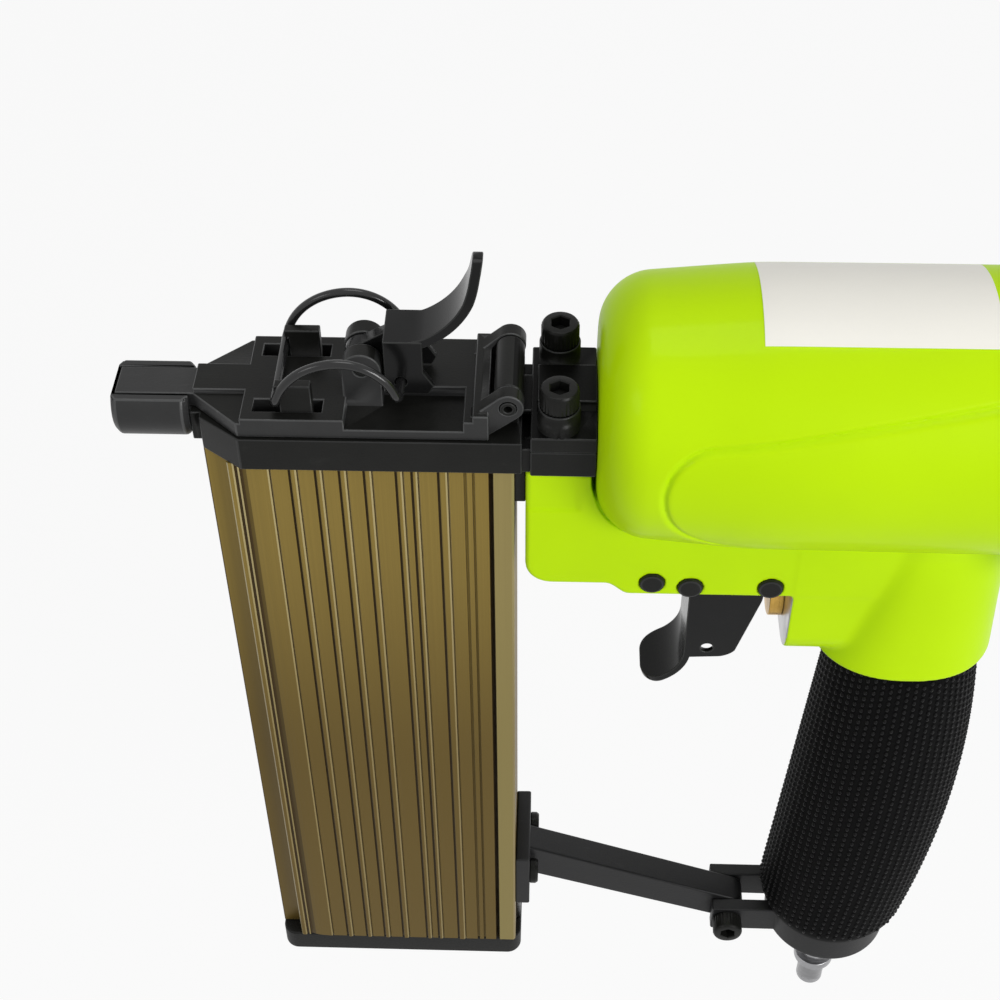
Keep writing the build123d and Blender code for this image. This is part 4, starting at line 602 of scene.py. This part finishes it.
# the spaces inside: cylinder, air way, trigger valve, trigger slot, pins and screws
def hollows(c, x, y, z, around):
    for radius, start in (c["chamber"], c["cylinder"]):
        yield np.maximum(around - radius, start - x)
    radius, end = c["driveHole"]
    yield np.maximum(around - radius, x - end)
    wide, tall = c["hollow"]
    air = (np.sqrt(((x - handleMiddle(c, z)) / wide) ** 2 + (y / tall) ** 2) - 1) * wide
    yield np.maximum(air, z - c["inside"])
    level, radius = c["valveHole"]
    yield np.maximum(np.hypot(y, z - level) - radius, np.maximum(c["face"] - 1 - x, x - c["grip"]))
    slotX, slotZ = c["slotMiddle"]
    long, wide, tall = c["slotHalf"]
    slot = np.maximum(np.abs(y) - wide, np.abs(z - slotZ) - tall)
    yield np.maximum(np.abs(x - slotX) - long, slot)
    for pin in ("trigger_pin", "spring_pin", "stop_pin"):
        low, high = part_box(pin)
        spot = (low + high) / 2 / mm
        yield np.hypot(x - spot.x, z - spot.z) - c["pinHole"]
    noseX, out, radius = c["noseHole"]
    level, half = c["noseHoleZ"]
    for side in (-out, out):
        yield np.maximum(np.hypot(x - noseX, y - side) - radius, np.abs(z - level) - half)
    out, radius, start = c["capHole"]
    for side in (-out, out):
        for height in (-out, out):
            yield np.maximum(np.hypot(y - side, z - height) - radius, start - x)


# the leaning handle's middle at a height
def handleMiddle(c, z):
    lean = np.clip((z - c["coreStraight"]) / (c["rootFoot"] - c["coreStraight"]), 0, 1)
    return between(c["foot"], c["grip"], lean)


# the straight handle tube inside the grip, from the root down
def addCore(work, c):
    turns = [2 * math.pi * step / c["coreRound"] for step in range(c["coreRound"])]
    rings = []
    for wide, tall in ((c["core"], c["core"]), c["hollow"]):
        rows = []
        for z in (c["coreFoot"], c["coreStraight"], c["rootFoot"], c["rootFoot"] + c["coreLap"]):
            middle = float(handleMiddle(c, z))
            spots = [(middle + wide * math.cos(turn), tall * math.sin(turn), z) for turn in turns]
            rows.append([work.verts.new(Vector(spot) * mm) for spot in spots])
        rings.append(rows)
    for rows in rings + [[rings[0][0], rings[1][0]], [rings[0][-1], rings[1][-1]]]:
        for lower, upper in zip(rows, rows[1:]):
            joinRings(work, lower, upper)


def makeCasting(c):
    low, high = (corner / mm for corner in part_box("main_body"))
    low.z = c["rootFoot"]
    before, beyond = (part * c["voxel"] for part in c["margin"])
    xs, ys, zs = (np.arange(start - before, stop + beyond, c["voxel"], dtype=np.float32)
                  for start, stop in zip(low, high))
    distance = np.clip(castingDistance(c, xs, ys, zs), -c["reach"], c["reach"]).astype(np.float32)
    grid = openvdb.FloatGrid(c["reach"])
    grid.copyFromArray(distance)
    points, quads = grid.convertToQuads(isovalue=0.0)
    points = (points * c["voxel"] + np.array([xs[0], ys[0], zs[0]])) * mm
    mesh = bpy.data.meshes.new("castBody")
    mesh.from_pydata(points.tolist(), [], quads.tolist())
    piece = newPiece("castBody", mesh, [greenPaint, bareAlloy])
    thin = piece.modifiers.new("thin", "DECIMATE")
    thin.ratio = min(1.0, c["triangles"] / (2 * len(quads)))
    settle(piece)
    work = bmesh.new()
    work.from_mesh(piece.data)
    addCore(work, c)
    bmesh.ops.recalc_face_normals(work, faces=work.faces)
    work.to_mesh(piece.data)
    work.free()
    for face in piece.data.polygons:
        face.use_smooth = True
        bare = abs(face.center.x - c["face"] * mm) < c["bareDeep"] * mm and face.normal.x < -c["bareFacing"]
        face.material_index = 1 if bare and face.center.z < c["flangeFoot"] * mm else 0
    return standFor(piece, "main_body")


castBody = makeCasting(casting)
print("casting made:", len(castBody.data.polygons), "faces")


# blank sticker on top of the barrel
label = {"x": (139.5, 188.0), "angle": (-26.0, 30.5), "lift": 0.03, "thick": 0.12, "across": 40, "along": 36,
         "sharp": 40.0}


def makeLabel(c):
    work = bmesh.new()
    layers = []
    for lift in (c["lift"], c["lift"] + c["thick"]):
        rows = []
        for i in range(c["along"] + 1):
            x = between(*c["x"], i / c["along"])
            row = []
            for j in range(c["across"] + 1):
                turn = math.radians(between(*c["angle"], j / c["across"]))
                reach = float(barrelWall(casting, x)) + lift
                row.append(work.verts.new(Vector((x, reach * math.sin(turn), reach * math.cos(turn))) * mm))
            rows.append(row)
        layers.append(rows)
    for rows in layers:
        for lower, upper in zip(rows, rows[1:]):
            for j in range(c["across"]):
                work.faces.new((lower[j], lower[j + 1], upper[j + 1], upper[j]))
    rims = []
    for rows in layers:
        start = [row[0] for row in rows]
        end = [row[-1] for row in rows[-2::-1]]
        rims.append(start + rows[-1][1:] + end + rows[0][-2:0:-1])
    joinRings(work, *rims)
    mesh = meshFrom(work, "blankLabel")
    mesh.shade_smooth()
    piece = newPiece("blankLabel", mesh, [stickerPaper])
    mesh.set_sharp_from_angle(angle=math.radians(c["sharp"]))
    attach(piece, "tool_body")
    return piece


makeLabel(label)


# a geometry tree with named inputs, ready for its nodes
def newTree(name, inputs):
    group = bpy.data.node_groups.new(name, "GeometryNodeTree")
    face = group.interface
    face.new_socket("Geometry", in_out="INPUT", socket_type="NodeSocketGeometry")
    names = {}
    for entry, kind in inputs.items():
        names[entry] = face.new_socket(entry, in_out="INPUT", socket_type=kind).identifier
    face.new_socket("Geometry", in_out="OUTPUT", socket_type="NodeSocketGeometry")
    start = group.nodes.new("NodeGroupInput")
    end = group.nodes.new("NodeGroupOutput")
    wires = {socket.name: Wire(group, socket) for socket in start.outputs if socket.name}
    return Tree(group), wires, end, names


# runs a tree on a piece and keeps the plain mesh
def runTree(piece, tree, names, values):
    modifier = piece.modifiers.new("tree", "NODES")
    modifier.node_group = tree.tree
    for entry, value in values.items():
        modifier[names[entry]] = value
    return settle(piece)


# sets of socket screws: one shape stands on every seat
def screwTree():
    tree, wires, end, names = newTree("socketScrews", {
        "shape": "NodeSocketObject", "turn": "NodeSocketRotation", "finish": "NodeSocketMaterial"})
    shape = tree.node("GeometryNodeObjectInfo", {"transform_space": "ORIGINAL"}, {"Object": wires["shape"]},
                      "Geometry")
    stood = tree.node("GeometryNodeInstanceOnPoints", sockets={
        "Points": wires["Geometry"], "Instance": shape, "Rotation": wires["turn"]})
    solid = tree.node("GeometryNodeRealizeInstances", sockets={"Geometry": stood})
    done = tree.node("GeometryNodeSetMaterial", sockets={"Geometry": solid, "Material": wires["finish"]})
    tree.tree.links.new(done.socket, end.inputs[0])
    return tree, names


largeHead = {"head": 4.25, "rise": 5.0, "socket": 2.0, "deep": 2.6, "knurl": 0.16}
lowHead = {"head": 3.5, "rise": 2.4, "socket": 1.25, "deep": 1.4, "knurl": 0.0}
smallHead = {"head": 3.1, "rise": 2.4, "socket": 1.47, "deep": 1.2, "knurl": 0.0}
tinyHead = {"head": 2.8, "rise": 2.0, "socket": 1.2, "deep": 1.0, "knurl": 0.0}
flatHead = {"head": 5.0, "rise": 2.6, "socket": 2.0, "deep": 1.6, "knurl": 0.0}
screws = {
    "nose_screws": dict(largeHead, axis=(0, 0, 1), shank=2.5, reach=31.0),
    "cap_screws": dict(largeHead, axis=(1, 0, 0), shank=2.4, reach=18.0),
    "bracket_bolt": dict(largeHead, axis=(0, -1, 0), shank=2.5, reach=16.0),
    "bracket_screws": dict(lowHead, axis=(1, 0, 0), shank=2.0, reach=6.6),
    "end_cap_screws": dict(smallHead, axis=(0, 0, -1), shank=1.7, reach=23.0),
    "slide_screws": dict(tinyHead, axis=(0, 0, -1), shank=1.5, reach=12.0),
    "magazine_screws": dict(lowHead, axis=(0, 0, 1), shank=2.0, reach=16.0),
    "exhaust_screw": dict(flatHead, axis=(1, 0, 0), shank=2.7, reach=18.2),
}
screwSides = 60
screwSharp = 30.0
screwNodes, screwNames = screwTree()


# the head's middle on each CAD screw: from the node's own loose parts
def screwSeats(node, c):
    work = openNode(node)
    axis = Vector(c["axis"])
    seats = []
    left = set(work.verts)
    while left:
        reach = [left.pop()]
        shell = list(reach)
        while reach:
            for edge in reach.pop().link_edges:
                for vert in edge.verts:
                    if vert in left:
                        left.remove(vert)
                        reach.append(vert)
                        shell.append(vert)
        spots = [vert.co.copy() for vert in shell]
        middle = Vector([(min(s[k] for s in spots) + max(s[k] for s in spots)) / 2 for k in range(3)])
        top = max(spot.dot(axis) for spot in spots)
        seats.append(middle + axis * (top - c["rise"] * mm - middle.dot(axis)))
    work.free()
    return seats


def makeScrews(node, c):
    def hexagon(turn, step):
        return c["socket"] / math.cos((turn + math.pi / 6) % (math.pi / 3) - math.pi / 6)

    def knurled(turn, step):
        return c["head"] - (c["knurl"] if step % 2 else 0.0)

    rise = c["rise"]
    head = c["head"]
    rings = [
        (-c["reach"], c["shank"] - 0.4), (0.4 - c["reach"], c["shank"]), (0, c["shank"]), (0, head - 0.3),
        (0.25, knurled), (rise - 0.75, knurled), (rise - 0.45, head - 0.2), (rise - 0.12, head - 0.42),
        (rise, head - 0.75), (rise, lambda turn, step: hexagon(turn, step) + 0.25),
        (rise - 0.22, hexagon), (rise - c["deep"], hexagon), (rise - c["deep"] - 0.3, 0.05),
    ]
    work = bmesh.new()
    turned(work, rings, screwSides)
    shape = newPiece("screwShape", meshFrom(work, "screwShape"), [blackOxide])
    shape.data.shade_smooth()
    shape.data.set_sharp_from_angle(angle=math.radians(screwSharp))
    points = bpy.data.meshes.new(node + "Seats")
    points.from_pydata([tuple(seat) for seat in screwSeats(node, c)], [], [])
    piece = newPiece(node.replace("_", "") + "Set", points, [blackOxide])
    turn = Vector(c["axis"]).to_track_quat("Z", "Y").to_euler()
    runTree(piece, screwNodes, screwNames, {"shape": shape, "turn": tuple(turn), "finish": blackOxide})
    bpy.data.objects.remove(shape)
    return standFor(piece, node)


for node, spec in screws.items():
    print(node, len(makeScrews(node, spec).data.polygons), "faces")


# rubber sleeve with rows of small raised dashes
sleeve = {
    "top": -70.0, "foot": -187.5, "middle": (184.6, 180.2), "half": (17.5, 20.2), "swell": 2.7, "lip": 1.2,
    "bore": 14.6, "rings": 40, "round": 96, "sharp": 50.0,
    "columns": 58, "rows": 50, "margin": 3.0, "dash": (0.5, 0.52, 0.8), "sunk": 0.05, "dashSides": (8, 4),
}


def dashTree():
    lengths = ("top", "foot", "topMiddle", "footMiddle", "topHalf", "footHalf", "sunk", "margin", "swell")
    inputs = {"columns": "NodeSocketInt", "rows": "NodeSocketInt", "size": "NodeSocketVector",
              "finish": "NodeSocketMaterial"}
    inputs.update({length: "NodeSocketFloat" for length in lengths})
    tree, wires, end, names = newTree("gripDashes", inputs)
    count = wires["columns"] * wires["rows"]
    points = tree.node("GeometryNodePoints", sockets={"Count": count})
    index = tree.node("GeometryNodeInputIndex")
    row = tree.node("ShaderNodeMath", {"operation": "FLOOR"}, {0: index / wires["columns"]})
    column = index - row * wires["columns"]
    stagger = tree.node("ShaderNodeMath", {"operation": "MODULO"}, {0: column, 1: 2.0}) * 0.5
    turn = column / wires["columns"] * (2 * math.pi)
    along = (row + 0.25 + stagger) / wires["rows"]
    height = wires["top"] - wires["margin"] - along * (wires["top"] - wires["foot"] - 2.0 * wires["margin"])
    down = (wires["top"] - height) / (wires["top"] - wires["foot"])
    half = between(wires["topHalf"], wires["footHalf"], down) - wires["sunk"]
    middle = between(wires["topMiddle"], wires["footMiddle"], down)
    palm = wires["swell"] * 4.0 * down * (1.0 - down)
    cosine = tree.node("ShaderNodeMath", {"operation": "COSINE"}, {0: turn})
    sine = tree.node("ShaderNodeMath", {"operation": "SINE"}, {0: turn})
    spot = tree.node("ShaderNodeCombineXYZ", sockets={
        "X": middle + palm + (half + palm) * cosine, "Y": half * sine, "Z": height})
    placed = tree.node("GeometryNodeSetPosition", sockets={"Geometry": points, "Position": spot})
    sides, rings = sleeve["dashSides"]
    dash = tree.node("GeometryNodeMeshUVSphere", sockets={"Segments": sides, "Rings": rings, "Radius": 1.0},
                     output="Mesh")
    angle = tree.node("ShaderNodeCombineXYZ", sockets={"Z": turn})
    rotation = tree.node("FunctionNodeEulerToRotation", sockets={"Euler": angle})
    stood = tree.node("GeometryNodeInstanceOnPoints", sockets={
        "Points": placed, "Instance": dash, "Rotation": rotation, "Scale": wires["size"]})
    solid = tree.node("GeometryNodeRealizeInstances", sockets={"Geometry": stood})
    smooth = tree.node("GeometryNodeSetShadeSmooth", sockets={"Geometry": solid})
    smooth = tree.node("GeometryNodeSetMaterial", sockets={"Geometry": smooth, "Material": wires["finish"]})
    joined = tree.tree.nodes.new("GeometryNodeJoinGeometry")
    tree.tree.links.new(smooth.socket, joined.inputs[0])
    tree.tree.links.new(wires["Geometry"].socket, joined.inputs[0])
    tree.tree.links.new(joined.outputs[0], end.inputs[0])
    return tree, names


def makeSleeve(c):
    work = bmesh.new()
    walls = []
    for inner in (False, True):
        rows = []
        for ring in range(c["rings"] + 1):
            part = ring / c["rings"]
            z = between(c["foot"], c["top"], part)
            middle = between(*c["middle"][::-1], part)
            half = between(*c["half"][::-1], part)
            lip = max(0.0, c["lip"] - min(z - c["foot"], c["top"] - z))
            half -= c["lip"] - math.sqrt(max(0.0, c["lip"] ** 2 - lip * lip))
            palm = c["swell"] * 4 * part * (1 - part)
            if inner:
                middle = float(handleMiddle(casting, z))
                half = c["bore"]
                palm = 0.0
            row = []
            for step in range(c["round"]):
                turn = 2 * math.pi * step / c["round"]
                reach = middle + palm + (half + palm) * math.cos(turn)
                row.append(work.verts.new(Vector((reach, half * math.sin(turn), z)) * mm))
            rows.append(row)
        walls.append(rows)
    for rows in walls:
        for lower, upper in zip(rows, rows[1:]):
            joinRings(work, lower, upper)
    for end in (0, -1):
        joinRings(work, walls[0][end], walls[1][end])
    mesh = meshFrom(work, "gripSleeve")
    mesh.shade_smooth()
    mesh.set_sharp_from_angle(angle=math.radians(c["sharp"]))
    piece = newPiece("gripSleeve", mesh, [gripRubber])
    tree, names = dashTree()
    runTree(piece, tree, names, {
        "columns": c["columns"], "rows": c["rows"], "top": c["top"] * mm, "foot": c["foot"] * mm,
        "topMiddle": c["middle"][0] * mm, "footMiddle": c["middle"][1] * mm, "topHalf": c["half"][0] * mm,
        "footHalf": c["half"][1] * mm, "sunk": c["sunk"] * mm, "size": tuple(part * mm for part in c["dash"]),
        "finish": gripDash, "margin": c["margin"] * mm, "swell": c["swell"] * mm,
    })
    return standFor(piece, "grip_sleeve")


gripSleeve = makeSleeve(sleeve)
print("grip sleeve made:", len(gripSleeve.data.polygons), "faces")

# the web behind the hinge: its two sides, and a lip over the drive channel
web = {
    "boxes": (((89.6, -14.4, -7.6), (92.6, -10.4, -0.9)), ((89.6, 10.4, -7.6), (92.6, 14.4, -0.9)),
              ((89.4, -6.0, 1.75), (92.4, 6.0, 3.05))),
}


def addWeb(work):
    for low, high in web["boxes"]:
        for vert in bmesh.ops.create_cube(work, size=1.0)["verts"]:
            vert.co = Vector(low[k] if vert.co[k] < 0 else high[k] for k in range(3)) * mm


# the trigger's cheeks: their lower rear corners are rounded as the sheet is
cheeks = {"below": -73.5, "behind": 137.5, "sheet": 1.2, "round": 2.2, "steps": 6}


def roundCheeks(work):
    corners = [edge for edge in work.edges if edge.is_valid and edge.verts[0].co.z < cheeks["below"] * mm
               and max(vert.co.x for vert in edge.verts) > cheeks["behind"] * mm
               and abs(edge.verts[0].co.y - edge.verts[1].co.y) > cheeks["sheet"] * mm]
    bmesh.ops.bevel(work, geom=corners, offset=cheeks["round"] * mm, segments=cheeks["steps"], affect="EDGES",
                    profile=0.5)


# steel pieces in their CAD shape, with broken edges in a lighter finish, painted highlight; on some, faces
# that look upwards behind an x take a darker finish, painted shade
black = {"finish": blackOxide, "edgeHighlight": blackOxideEdge}
grey = {"finish": greyPhosphate, "edgeHighlight": greyPhosphateEdge}
gloss = {"finish": blackGloss, "edgeHighlight": blackOxideEdge}
shadedTops = {"nose_door": (blackOxide, 18.0), "guide_cover": (blackDeep, 0.0),
             "driver_guide": (blackDeep, 88.0)}
topFacing = 0.7
steelPieces = {
    "nose_tip": dict(grey, width=0.35, shoulder=17.0), "nose_door": dict(grey, width=0.3),
    "driver_guide": dict(black, width=0.32, change=addWeb),
    "guide_cover": dict(black, width=0.32, miter="MITER_SHARP"),
    "latch_lever": dict(gloss, width=0.28), "trigger": dict(gloss, width=0.3, change=roundCheeks),
    "trigger_pin": dict(black, width=0.35), "spring_pin": dict(black, width=0.35),
    "stop_pin": dict(black, width=0.35), "hinge_pin": dict(black, width=0.25),
    "latch_pin": dict(black, width=0.25),
}
for node, spec in steelPieces.items():
    piece = softEdges(node, **spec)
    if node in shadedTops:
        top, behind = shadedTops[node]
        piece.data.materials.append(top)
        for face in piece.data.polygons:
            # painted shade: faces that look upwards take the darker finish
            if face.material_index == 0 and face.normal.z > topFacing and face.center.x > behind * mm:
                face.material_index = 2

# magazine: the CAD extrusion, with a ribbed face on its near side
ribs = {
    "face": -13.0, "cut": -12.3, "x": (25.05, 88.35), "z": (-199.9, -7.75), "rise": 0.28, "deep": 0.5,
    "under": 1.4, "lip": 34.28, "grooveDeep": 0.9, "darkEdge": 21.0,
    "lead": ((26.25, 0.0, 0), (26.6, -0.25, 1), (26.68, -0.6, 2), (27.2, -0.6, 2), (27.3, -0.2, 2),
             (27.7, -0.2, 1), (27.78, -0.66, 2), (28.3, -0.66, 2), (29.2, -0.38, 4), (30.3, -0.14, 0),
             (31.6, 0.0, 0)),
    "beads": ((38.77, 40.39), (44.49, 45.99), (49.8, 51.37), (55.28, 56.96), (62.32, 63.77), (65.82, 67.11),
              (71.68, 73.68)),
    "grooves": ((77.58, 0.5), (79.38, 0.4), (83.24, 0.9)), "strip": 83.6,
}
# the slide's far wall has a plainer drawn face
farRibs = {"face": 12.7, "x": (27.0, 82.0), "z": (-200.2, -8.1), "count": 8, "rise": 0.28, "under": 0.4}


def cutNear(work):
    made = bmesh.ops.bisect_plane(work, geom=work.verts[:] + work.edges[:] + work.faces[:], dist=1e-7,
                                  plane_co=(0, ribs["cut"] * mm, 0), plane_no=(0, -1, 0), clear_outer=True)
    edges = [item for item in made["geom_cut"] if isinstance(item, bmesh.types.BMEdge)]
    bmesh.ops.holes_fill(work, edges=edges)


# the near face's outline from above: (x, height over the face, finish); finish 1 is a painted highlight, 2
# and 4 are painted shade
def ribLine(c):
    left, end = c["x"]
    lip = c["lip"]
    deep = -c["grooveDeep"]
    line = [(left, -c["under"], 0), (left, -0.45, 0), (left + 0.35, -0.05, 1), *c["lead"],
            (lip - 0.35, 0.15, 0), (lip, -0.05, 1), (lip + 0.05, -0.3, 2), (lip + 0.18, -0.3, 2),
            (lip + 0.45, 0.02, 1), (lip + 0.7, 0.0, 0)]
    for dark, light in c["beads"]:
        line += [(dark - 0.3, 0.0, 0), (dark - 0.24, -c["deep"], 2), (dark + 0.2, -c["deep"], 2),
                 (dark + 0.28, c["rise"] * 0.5, 2), (dark + 0.5, c["rise"], 0), (light - 0.42, c["rise"], 0),
                 (light - 0.05, -0.05, 1), (light, -0.3, 2), (light + 0.1, -0.3, 2), (light + 0.38, 0.02, 1),
                 (light + 0.6, 0.0, 0)]
    for middle, width in c["grooves"]:
        near = middle - width / 2
        far = middle + width / 2
        line += [(near - 0.08, 0.0, 0), (near, deep, 2), (far, deep, 2), (far + 0.12, 0.0, 1)]
    return line + [(end - 0.5, 0.0, 0), (end, -0.5, 1), (end, -c["under"], 0)]


def makeRibs(name, c, line, side, body):
    strip = c.get("strip", math.inf)
    work = bmesh.new()
    rows = []
    for z in c["z"]:
        rows.append([work.verts.new(Vector((x, c["face"] + side * rise, z)) * mm) for x, rise, kind in line])
    for k in range(len(line)):
        after = (k + 1) % len(line)
        face = work.faces.new((rows[0][k], rows[0][after], rows[1][after], rows[1][k]))
        kind = line[after][2]
        face.material_index = 3 if kind == 0 and line[k][0] > strip else kind
    work.faces.new(rows[0][::-1])
    work.faces.new(rows[1])
    finishes = [bronzeAnodised, bronzeRim, bronzeGroove, bronzeStrip, bronzeRamp]
    piece = newPiece(name, meshFrom(work, name), finishes)
    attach(piece, body)
    return piece


# on the far wall, finish 1 is a painted highlight and finish 2 painted shade
def farLine(c):
    left, end = c["x"]
    rise = c["rise"]
    line = [(left, -c["under"], 0), (left, 0.02, 0), (left + 0.3, rise, 1)]
    for k in range(1, c["count"]):
        x = left + (end - left) / c["count"] * k
        line += [(x - 0.5, rise, 0), (x - 0.3, 0.04, 1), (x + 0.3, 0.04, 2), (x + 0.5, rise, 1)]
    return line + [(end - 0.3, rise, 0), (end, 0.02, 1), (end, -c["under"], 0)]


rail = softEdges("magazine_body", 0.3, bronzeAnodised, bronzeRim, name="magazineRail", change=cutNear)
rail.data.materials.append(bronzeGroove)
# painted shade: the rail's left edge takes the dark groove bronze
for face in rail.data.polygons:
    if face.material_index == 1 and face.center.x < ribs["darkEdge"] * mm:
        face.material_index = 2
makeRibs("magazineRibs", ribs, ribLine(ribs), -1, "tool_body")
makeRibs("slideRibs", farRibs, farLine(farRibs), 1, "slide")
softEdges("magazine_slide", 0.2, bronzeAnodised, bronzeRim, name="magazineTray")
for node, width in {"magazine_spacer": 0.3, "slide_end_cap": 0.6, "exhaust_deflector": 0.4}.items():
    softEdges(node, width, blackPlastic)
for node, width in {"handle_end_cap": 0.5, "magazine_bracket": 0.6}.items():
    softEdges(node, width, blackAlloy)
softEdges("rear_cap", 0.8, greenPaint, name="rearCapSoft", steps=3)
softEdges("valve_body", 0.3, turnedBrass, name="valveBodySoft")
softEdges("air_plug", 0.3, bareSteel, name="airPlugSoft")
softEdges("follower", 0.3, bareAlloy)
print("edges broken")

# coil springs as smooth copies of the CAD coils; how far each would shorten as the joint beside it moves is
# worked out but not applied
springs = {
    "head_valve_spring": {"joint": "head_lift", "along": 0},
    "valve_spring": {"joint": "stem_press", "along": 0},
    "follower_spring": {"joint": "follower_feed", "along": 2},
    "trigger_spring": {"joint": "trigger_pull", "along": 2, "fixed": -41.6, "keep": 0.9},
}
coilSharp = 40.0
joints = frame["record"]["behaviour"]["joints"]
travel = {joint["name"]: joint["range_m"][1] for joint in joints if "range_m" in joint}


def makeSpring(node, c):
    mesh = nodes[node].data.copy()
    work = openNode(node)
    work.to_mesh(mesh)
    work.free()
    mesh.shade_smooth()
    mesh.set_sharp_from_angle(angle=math.radians(coilSharp))
    piece = standFor(newPiece(node.replace("_", "") + "Coil", mesh, [bareSteel]), node)
    low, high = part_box(node)
    along = c["along"]
    fixed = high if along == 0 else low
    axis = [1.0 if k == along else 0.0 for k in range(3)]
    if "fixed" in c:
        fixed[along] = c["fixed"] * mm
    keep = c.get("keep") or 1 - travel[c["joint"]] / (high[along] - low[along])
    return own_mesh(piece)


for node, spec in springs.items():
    makeSpring(node, spec)

# plain pale floor, low enough for the magazine slide when it is pulled out
floor = {"half": 4.0, "drop": 0.113, "pale": (0.72, 0.72, 0.72, 1), "glow": 0.9}
seenBy = ("Is Camera Ray", "Is Glossy Ray", "Is Transmission Ray")
floorMesh = bpy.data.meshes.new("floor")
h = floor["half"]
z = cadBox[0][2] - floor["drop"]
floorMesh.from_pydata([(-h, -h, z), (h, -h, z), (h, h, z), (-h, h, z)], [], [(0, 1, 2, 3)])
pale = Finish("paleFloor", Base_Color=floor["pale"], Roughness=0.7, Specular_IOR_Level=0.2)
ray = sum(pale.node("ShaderNodeLightPath", output=kind) for kind in seenBy)
glow = pale.node("ShaderNodeEmission", sockets={"Color": (1, 1, 1, 1), "Strength": 1.0})
mixed = pale.node("ShaderNodeMixShader", sockets={
    0: ray * floor["glow"], 1: Wire(pale.tree, pale.shader.outputs[0]), 2: glow})
pale.tree.links.new(mixed.socket, pale.tree.nodes["Material Output"].inputs["Surface"])
floorPiece = newPiece("floor", floorMesh, [pale.material])

# soft studio light: pale surround and three panels
world = bpy.data.worlds.new("studio")
bpy.context.scene.world = world
world.use_nodes = True
surround = Tree(world.node_tree)
seen = sum(surround.node("ShaderNodeLightPath", output=kind) for kind in seenBy)
level = {"around": 0.43, "seen": 0.98}
backdrop = world.node_tree.nodes["Background"]
backdrop.inputs["Color"].default_value = (1, 1, 1, 1)
strength = between(level["around"], level["seen"], seen)
world.node_tree.links.new(strength.socket, backdrop.inputs["Strength"])

panels = {
    "frontPanel": {"spot": (0.82, -0.82, 0.36), "aim": (0.12, 0.0, -0.05), "size": 0.5, "power": 8.2},
    "topPanel": {"spot": (0.10, 0.10, 1.05), "aim": (0.12, 0.0, -0.05), "size": 0.5, "power": 2.4},
    "leftPanel": {"spot": (-0.52, -0.48, 0.46), "aim": (0.06, 0.0, -0.02), "size": 0.28, "power": 0.7},
}
for name, spec in panels.items():
    lamp = bpy.data.lights.new(name, "AREA")
    lamp.size = spec["size"]
    lamp.energy = spec["power"]
    holder = bpy.data.objects.new(name, lamp)
    spot = Vector(spec["spot"])
    turn = (Vector(spec["aim"]) - spot).to_track_quat("-Z", "Y").to_matrix().to_4x4()
    holder.matrix_world = Matrix.Translation(spot) @ turn
    bpy.context.scene.collection.objects.link(holder)

bpy.context.scene.view_settings.view_transform = "Standard"
